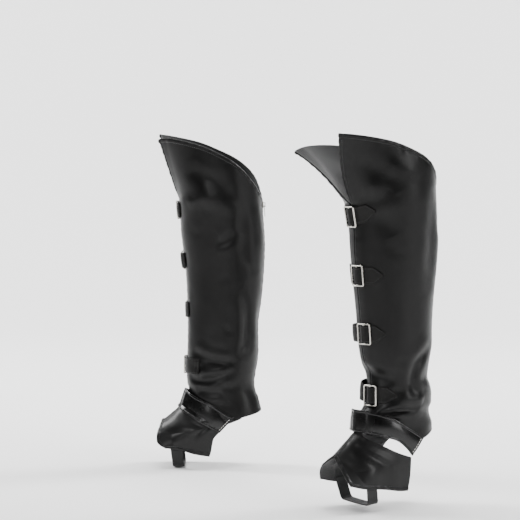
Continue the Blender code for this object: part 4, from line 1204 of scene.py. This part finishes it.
def spat_points(cover, side, u, v):
    """The spat's outer face: u runs from the ridge down, v from the front back."""
    facts = SPATS[cover.name]
    ridge_points = (*facts["ridge"], tuple(hem_point(cover, 0.0, side, SEAM_GAP + HEM_GAP)))
    front, back = along(facts["front"], u), spat_back_edge(cover, side, u)
    ridge, bottom = along(ridge_points, v), along(facts["bottom"], v)
    u1, v1 = u[..., None], v[..., None]
    corners = (
        (1 - u1) * (1 - v1) * np.array(ridge_points[0])
        + (1 - u1) * v1 * np.array(ridge_points[-1])
        + u1 * (1 - v1) * np.array(facts["bottom"][0])
        + u1 * v1 * np.array(facts["bottom"][-1])
    )
    point = (1 - v1) * front + v1 * back + (1 - u1) * ridge + u1 * bottom - corners
    bulge = SPAT_BULGE * np.sin(math.pi * u) * np.sin(math.pi * v)
    reach = facts["reach"][side] * np.sin(math.pi * u) * (1 - v) ** 2
    folds = [(*row[:4], row[4] * SPAT_FOLD_EASE, row[5] / SPAT_FOLD_EASE) for row in SPAT_FOLDS]
    for from_u, from_v, to_u, to_v, depth, width in folds + list(SPAT_CREASES):
        share = np.clip((u - from_u) / (to_u - from_u), 1e-6, 1 - 1e-6)
        off = ((v - from_v - (to_v - from_v) * share) / width) ** 2
        ends = np.sin(math.pi * share) ** FOLD_TAPER
        bulge += depth * ends * (1 - off) * np.exp(-FOLD_RIM * off)
    x = point[..., 0] + reach + 0.5 * bulge
    z = point[..., 2] + 0.6 * reach
    y = np.clip(point[..., 1] + bulge * np.minimum(1, 4 * u), 0, None) + SEAM_GAP / 2
    return np.stack([x, side * y, z], -1)


def eased(points, u, v):
    """The spat with its sideways bend spread evenly, as soft cloth spreads a corner's pull."""
    hold = (smooth((1 - v) / SPAT_EASE) * smooth(v / SPAT_EASE))[..., None]
    share = ((u[:, 1:-1] - u[:, :-2]) / (u[:, 2:] - u[:, :-2]))[..., None]
    for _ in range(SPAT_EASE_ROUNDS):
        level = points[..., 1:]
        even = level[:, :-2] + share * (level[:, 2:] - level[:, :-2])
        level[:, 1:-1] += hold[:, 1:-1] * (even - level[:, 1:-1])
    return points


def make_spat(cover, side):
    """One side panel, from the ridge down to the free bottom edge."""
    down = SPAT_COLUMNS[0] + SPAT_COLUMNS[1] / SPAT_DEPTH
    back = SPAT_ROWS[0] + SPAT_ROWS[1] / SPAT_LENGTH
    u, v = np.meshgrid(down, back)
    points = cover.room(eased(spat_points(cover, side, u, v), u, v))
    inside = cover.room((40, 0, 30))
    left, right, low, high = edge_distances(points)
    relief = turned_edge(low, SPAT_STITCH_IN) + turned_edge(right, SPAT_STITCH_IN)
    relief += 0.5 * turned_edge(left, SEAM_STITCH)
    relief += 0.7 * edge_waves(low, left, 7) + edge_waves(right, low, 7) + 0.5 * edge_waves(left, low, 6)
    name = f"{cover.name}_spat_{SIDES[side]}"
    finishes = (spat_leather, lining_jersey)
    piece, outer, out = shell(name + "_leather", points, LEATHER_WALL, finishes, inside, relief)
    cover.surfaces.append(tree_of(points, inside))
    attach(piece, "covers")
    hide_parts(name)
    grid = {"points": outer, "out": out}
    lines = []
    sewn = ((low, SPAT_STITCH_IN, 0), (right, SPAT_STITCH_IN, 1), (left, SEAM_STITCH, 1))
    for distance, wanted, axis in sewn:
        line, facing = path_on(grid, distance, wanted, axis)
        lines.append((line[9:-9], facing[9:-9]))
    stitched(name + "_stitches", lines, black_thread, "spat_faux_leather")


for cover in covers:
    for side in SIDES:
        make_spat(cover, side)


# Band: two glossy halves across the lower front, joined by a raised seam, each stitched along
# both edges and sewn to the shaft's hem at its end. They lie over the spat's top edge.

BAND_WALL = 1.8
BAND_GAP = 1.1
BAND_LENGTH = 100
BAND_WIDTH = 40
BAND_BULGE = 1.5
BAND_STITCH_IN = 3.5
BAND_SEAM_STITCH = 2.6
END_STITCH_IN = 3.6
# Columns: pitch, length and radius of the white stitches, drawn thicker than real so they show
END_STITCHES = (4.4, 3.2, 0.6)

# The band's two edges on one side, from the front seam to its sewn end.
# Columns: forward, sideways, height
RIGHT_BAND_TOP = (
    (61.4, 0, 129.3),
    (57, 12, 126),
    (44.3, 26, 117.6),
    (16.4, 38, 105.3),
    (-13.6, 40, 87),
    (-20.5, 40, 84.8),
)
RIGHT_BAND_BOTTOM = (
    (72.1, 0, 97.8),
    (66, 14, 92.5),
    (46.5, 30, 82.1),
    (22.9, 40, 68.5),
    (5.9, 41, 60.8),
    (3.5, 41, 59),
)
LEFT_BAND_TOP = (
    (75.1, 0, 147.2),
    (71, 11, 146.6),
    (65.3, 20, 144.8),
    (49.7, 29, 138.4),
    (31.8, 36, 128.4),
    (10.5, 39, 109),
    (-18.7, 39, 84.5),
)
LEFT_BAND_BOTTOM = (
    (79.1, 0, 107.2),
    (76, 10, 106.6),
    (70.7, 20, 105.4),
    (62, 27, 102.3),
    (46, 34, 95.2),
    (28.8, 39, 87.1),
    (15.2, 41, 74),
    (6.3, 41, 62),
)
BANDS = {"right": (RIGHT_BAND_TOP, RIGHT_BAND_BOTTOM), "left": (LEFT_BAND_TOP, LEFT_BAND_BOTTOM)}
BAND_COLUMNS = stations(EDGE_STEPS[:10], EDGE_STEPS[:10], 90)
BAND_ROWS = (0, 0.2, 0.5, 0.9, 1.5, 2.2, 2.9, 3.5, 4.2, 5.2, 6.6)

band_leather = faux_leather("polyurethane leather, glossy band", "#060606", "#0A0A0A", 0.26, 0.4)
white_thread = thread("bonded polyester thread, white", "#C9C7C2")


def make_band(cover, side):
    """One half, from the front seam to its sewn end."""
    top_edge, bottom_edge = BANDS[cover.name]
    steps = np.array(BAND_ROWS) / BAND_WIDTH
    v = np.concatenate([steps, np.linspace(steps[-1], 1 - steps[-1], 22)[1:-1], 1 - steps[::-1]])
    u, v = np.meshgrid(BAND_COLUMNS[0] + BAND_COLUMNS[1] / BAND_LENGTH, v)
    low, high = along(bottom_edge, u), along(top_edge, u)
    middle = low + (high - low) * v[..., None]
    y = middle[..., 1] + BAND_BULGE * np.sin(math.pi * v) * np.minimum(1, 4 * u) + SEAM_GAP / 2
    points = cover.room(np.stack([middle[..., 0], side * y, middle[..., 2]], -1))
    cover.clear(points, BAND_WALL + BAND_GAP)
    left, right, low, high = edge_distances(points)
    relief = 0.8 * turned_edge(np.minimum(np.minimum(low, high), left + 0.9), BAND_STITCH_IN)
    relief += 0.4 * (edge_waves(low, left, 6) + edge_waves(high, left, 6))
    name = f"{cover.name}_band_{SIDES[side]}"
    finishes = (band_leather, lining_jersey)
    piece, outer, out = shell(name + "_leather", points, BAND_WALL, finishes, cover.middle(90), relief)
    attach(piece, "covers")
    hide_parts(name)
    grid = {"points": outer, "out": out}
    lines = []
    sewn = ((low, BAND_STITCH_IN, 0, 4), (high, BAND_STITCH_IN, 0, 4), (left, BAND_SEAM_STITCH, 1, 8))
    for distance, wanted, axis, short in sewn:
        line, facing = path_on(grid, distance, wanted, axis)
        lines.append((line[short:-short], facing[short:-short]))
    stitched(name + "_stitches", lines, black_thread, "band_faux_leather")
    line, facing = path_on(grid, right, END_STITCH_IN, 1)
    lines = [(line[7:-7], facing[7:-7])]
    stitched(name + "_end_stitches", lines, white_thread, "band_faux_leather", *END_STITCHES)


for cover in covers:
    for side in SIDES:
        make_band(cover, side)


# Elastic: a strip of ribbed black webbing sewn inside both bottom edges of the spat. It runs
# underneath from side to side, close to the floor, and holds the spat down.

ELASTIC_WIDTH = 19.0
ELASTIC_WALL = 1.2
ELASTIC_TUCK = 9.0
ELASTIC_RAKE = 0.12
LOOP_HALF = 33.0
LOOP_HEIGHT = 2.0
LOOP_SIDE = 12
ELASTIC_PLACE = {"left": 80.0, "right": 74.0}


# Braided elastic webbing: dull polyester over rubber cords, ribbed across 1.6 mm apart.
elastic_webbing = ridged_textile(
    "ribbed elastic webbing",
    {"Base Color": linear("#0E0E0E"), "Roughness": 0.78, "Sheen Weight": 0.2},
    "UV",
    {"bands_direction": "Y"},
    1.6,
    0.7,
    0.3,
)


def make_elastic(cover):
    """One strip, tucked behind the spat at both ends, with rounded lower corners."""
    path = []
    place = ELASTIC_PLACE[cover.name]
    for side in SIDES:
        shares = np.linspace(0, 1, 51)
        edge = spat_points(cover, side, np.ones(51), shares)
        top = edge[np.argmin(np.abs(edge[:, 0] - place))]
        y = abs(top[1]) - LEATHER_WALL - LAY_GAP
        points = [
            (side * y, top[2] + ELASTIC_TUCK),
            (side * y, top[2]),
            (side * (LOOP_HALF + 2), LOOP_HEIGHT + LOOP_SIDE),
            (side * LOOP_HALF, LOOP_HEIGHT + 3),
            (side * (LOOP_HALF - 5), LOOP_HEIGHT),
        ]
        path += points if side > 0 else points[::-1]
    line = [(0, y, z) for y, z in path]
    across, run = np.meshgrid(np.linspace(0, 1, 25), np.linspace(0, 1, 140))
    spot = along(line, run)
    x = place + (across - 0.5) * ELASTIC_WIDTH - ELASTIC_RAKE * (30 - spot[..., 2])
    points = cover.room(np.stack([x, spot[..., 1], spot[..., 2]], -1))
    tucked = spot[..., 2] >= LOOP_HEIGHT + LOOP_SIDE
    points[tucked] = cover.clear(points[tucked], LEATHER_WALL + 2 * LAY_GAP, -1)
    inside = cover.room((place, 0, 35))
    name = f"{cover.name}_understrap"
    piece, _, _ = shell(name + "_elastic", points, ELASTIC_WALL, (elastic_webbing,), inside)
    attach(piece, "covers")
    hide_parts(name)


# The elastic keeps clear of the spat's panels alone, and not of the shaft's.
for cover in covers:
    cover.surfaces = cover.surfaces[len(SIDES) :]
    make_elastic(cover)


# Studio: a white paper floor that sweeps up behind, soft lights from the front left, the right
# and above, which give the black leather its broad highlights, and two on the paper behind.

FLOOR_HEIGHT = -0.1139
CAMERA_PLACE = (-0.2004, -2.4944, 0.3691)
CAMERA_TILT = math.radians(2.88)
CAMERA_LENS = 118.5
SWEEP_FRONT = -3.5
SWEEP_START = 2.6
SWEEP_RADIUS = 1.6
SWEEP_STEPS = 16
SWEEP_TOP = 5.0
SWEEP_HALF = 6.0

# Seamless paper: plain matt white, without a highlight.
sweep_paper, _, _ = new_material("seamless paper, white", {"Base Color": linear("#F4F4F4"), "Roughness": 0.9})
profile = [(SWEEP_FRONT, 0.0), (SWEEP_START, 0.0)]
for step in range(1, SWEEP_STEPS + 1):
    turn = math.pi / 2 * step / SWEEP_STEPS
    profile.append((SWEEP_START + SWEEP_RADIUS * math.sin(turn), SWEEP_RADIUS * (1 - math.cos(turn))))
profile.append((SWEEP_START + SWEEP_RADIUS, SWEEP_TOP))
sweep = bpy.data.meshes.new("sweep")
verts = [(x, y, FLOOR_HEIGHT + z) for y, z in profile for x in (-SWEEP_HALF, SWEEP_HALF)]
sweep.from_pydata(verts, [], [(2 * i, 2 * i + 1, 2 * i + 3, 2 * i + 2) for i in range(len(profile) - 1)])
sweep.materials.append(sweep_paper)
sweep.shade_smooth()
new_object("floor", sweep)

# Columns: name, place, aimed at, width, height, watts
SOFT_LIGHTS = (
    ("key softbox", (-1.7, -2.7, 1.2), (-0.15, 0.1, 0.15), 0.7, 1.5, 18),
    ("side softbox", (2.3, -1.6, 0.95), (-0.05, 0.1, 0.1), 1.0, 1.6, 36),
    ("high strip", (-0.75, -2.7, 1.75), (0.0, 0.0, -0.05), 0.4, 0.8, 18),
    ("overhead softbox", (0.0, 0.5, 2.4), (-0.15, 0.2, 0.0), 1.8, 1.4, 95),
    ("backdrop light left", (-2.6, 1.4, 2.4), (-0.2, 3.6, 0.8), 1.6, 1.6, 220),
    ("backdrop light right", (2.4, 1.4, 2.4), (0.1, 3.6, 0.8), 1.6, 1.6, 220),
)
for name, place, target, width, height, watts in SOFT_LIGHTS:
    light = bpy.data.lights.new(name, "AREA")
    light.shape = "RECTANGLE"
    light.size, light.size_y, light.energy = width, height, watts
    lamp = new_object(name, light)
    lamp.location = place
    lamp.rotation_euler = (Vector(target) - Vector(place)).to_track_quat("-Z", "Y").to_euler()
world = bpy.data.worlds.new("studio")
world.use_nodes = True
background = world.node_tree.nodes["Background"].inputs
background["Color"].default_value = linear("#E8E8EA")
background["Strength"].default_value = 0.03
bpy.context.scene.world = world

camera = new_object("camera", bpy.data.cameras.new("camera"))
camera.location = CAMERA_PLACE
camera.rotation_euler = (math.pi / 2 - CAMERA_TILT, 0, 0)
camera.data.lens = CAMERA_LENS
camera.data.sensor_width = 36.0
camera.data.clip_end = 50.0
bpy.context.scene.camera = camera
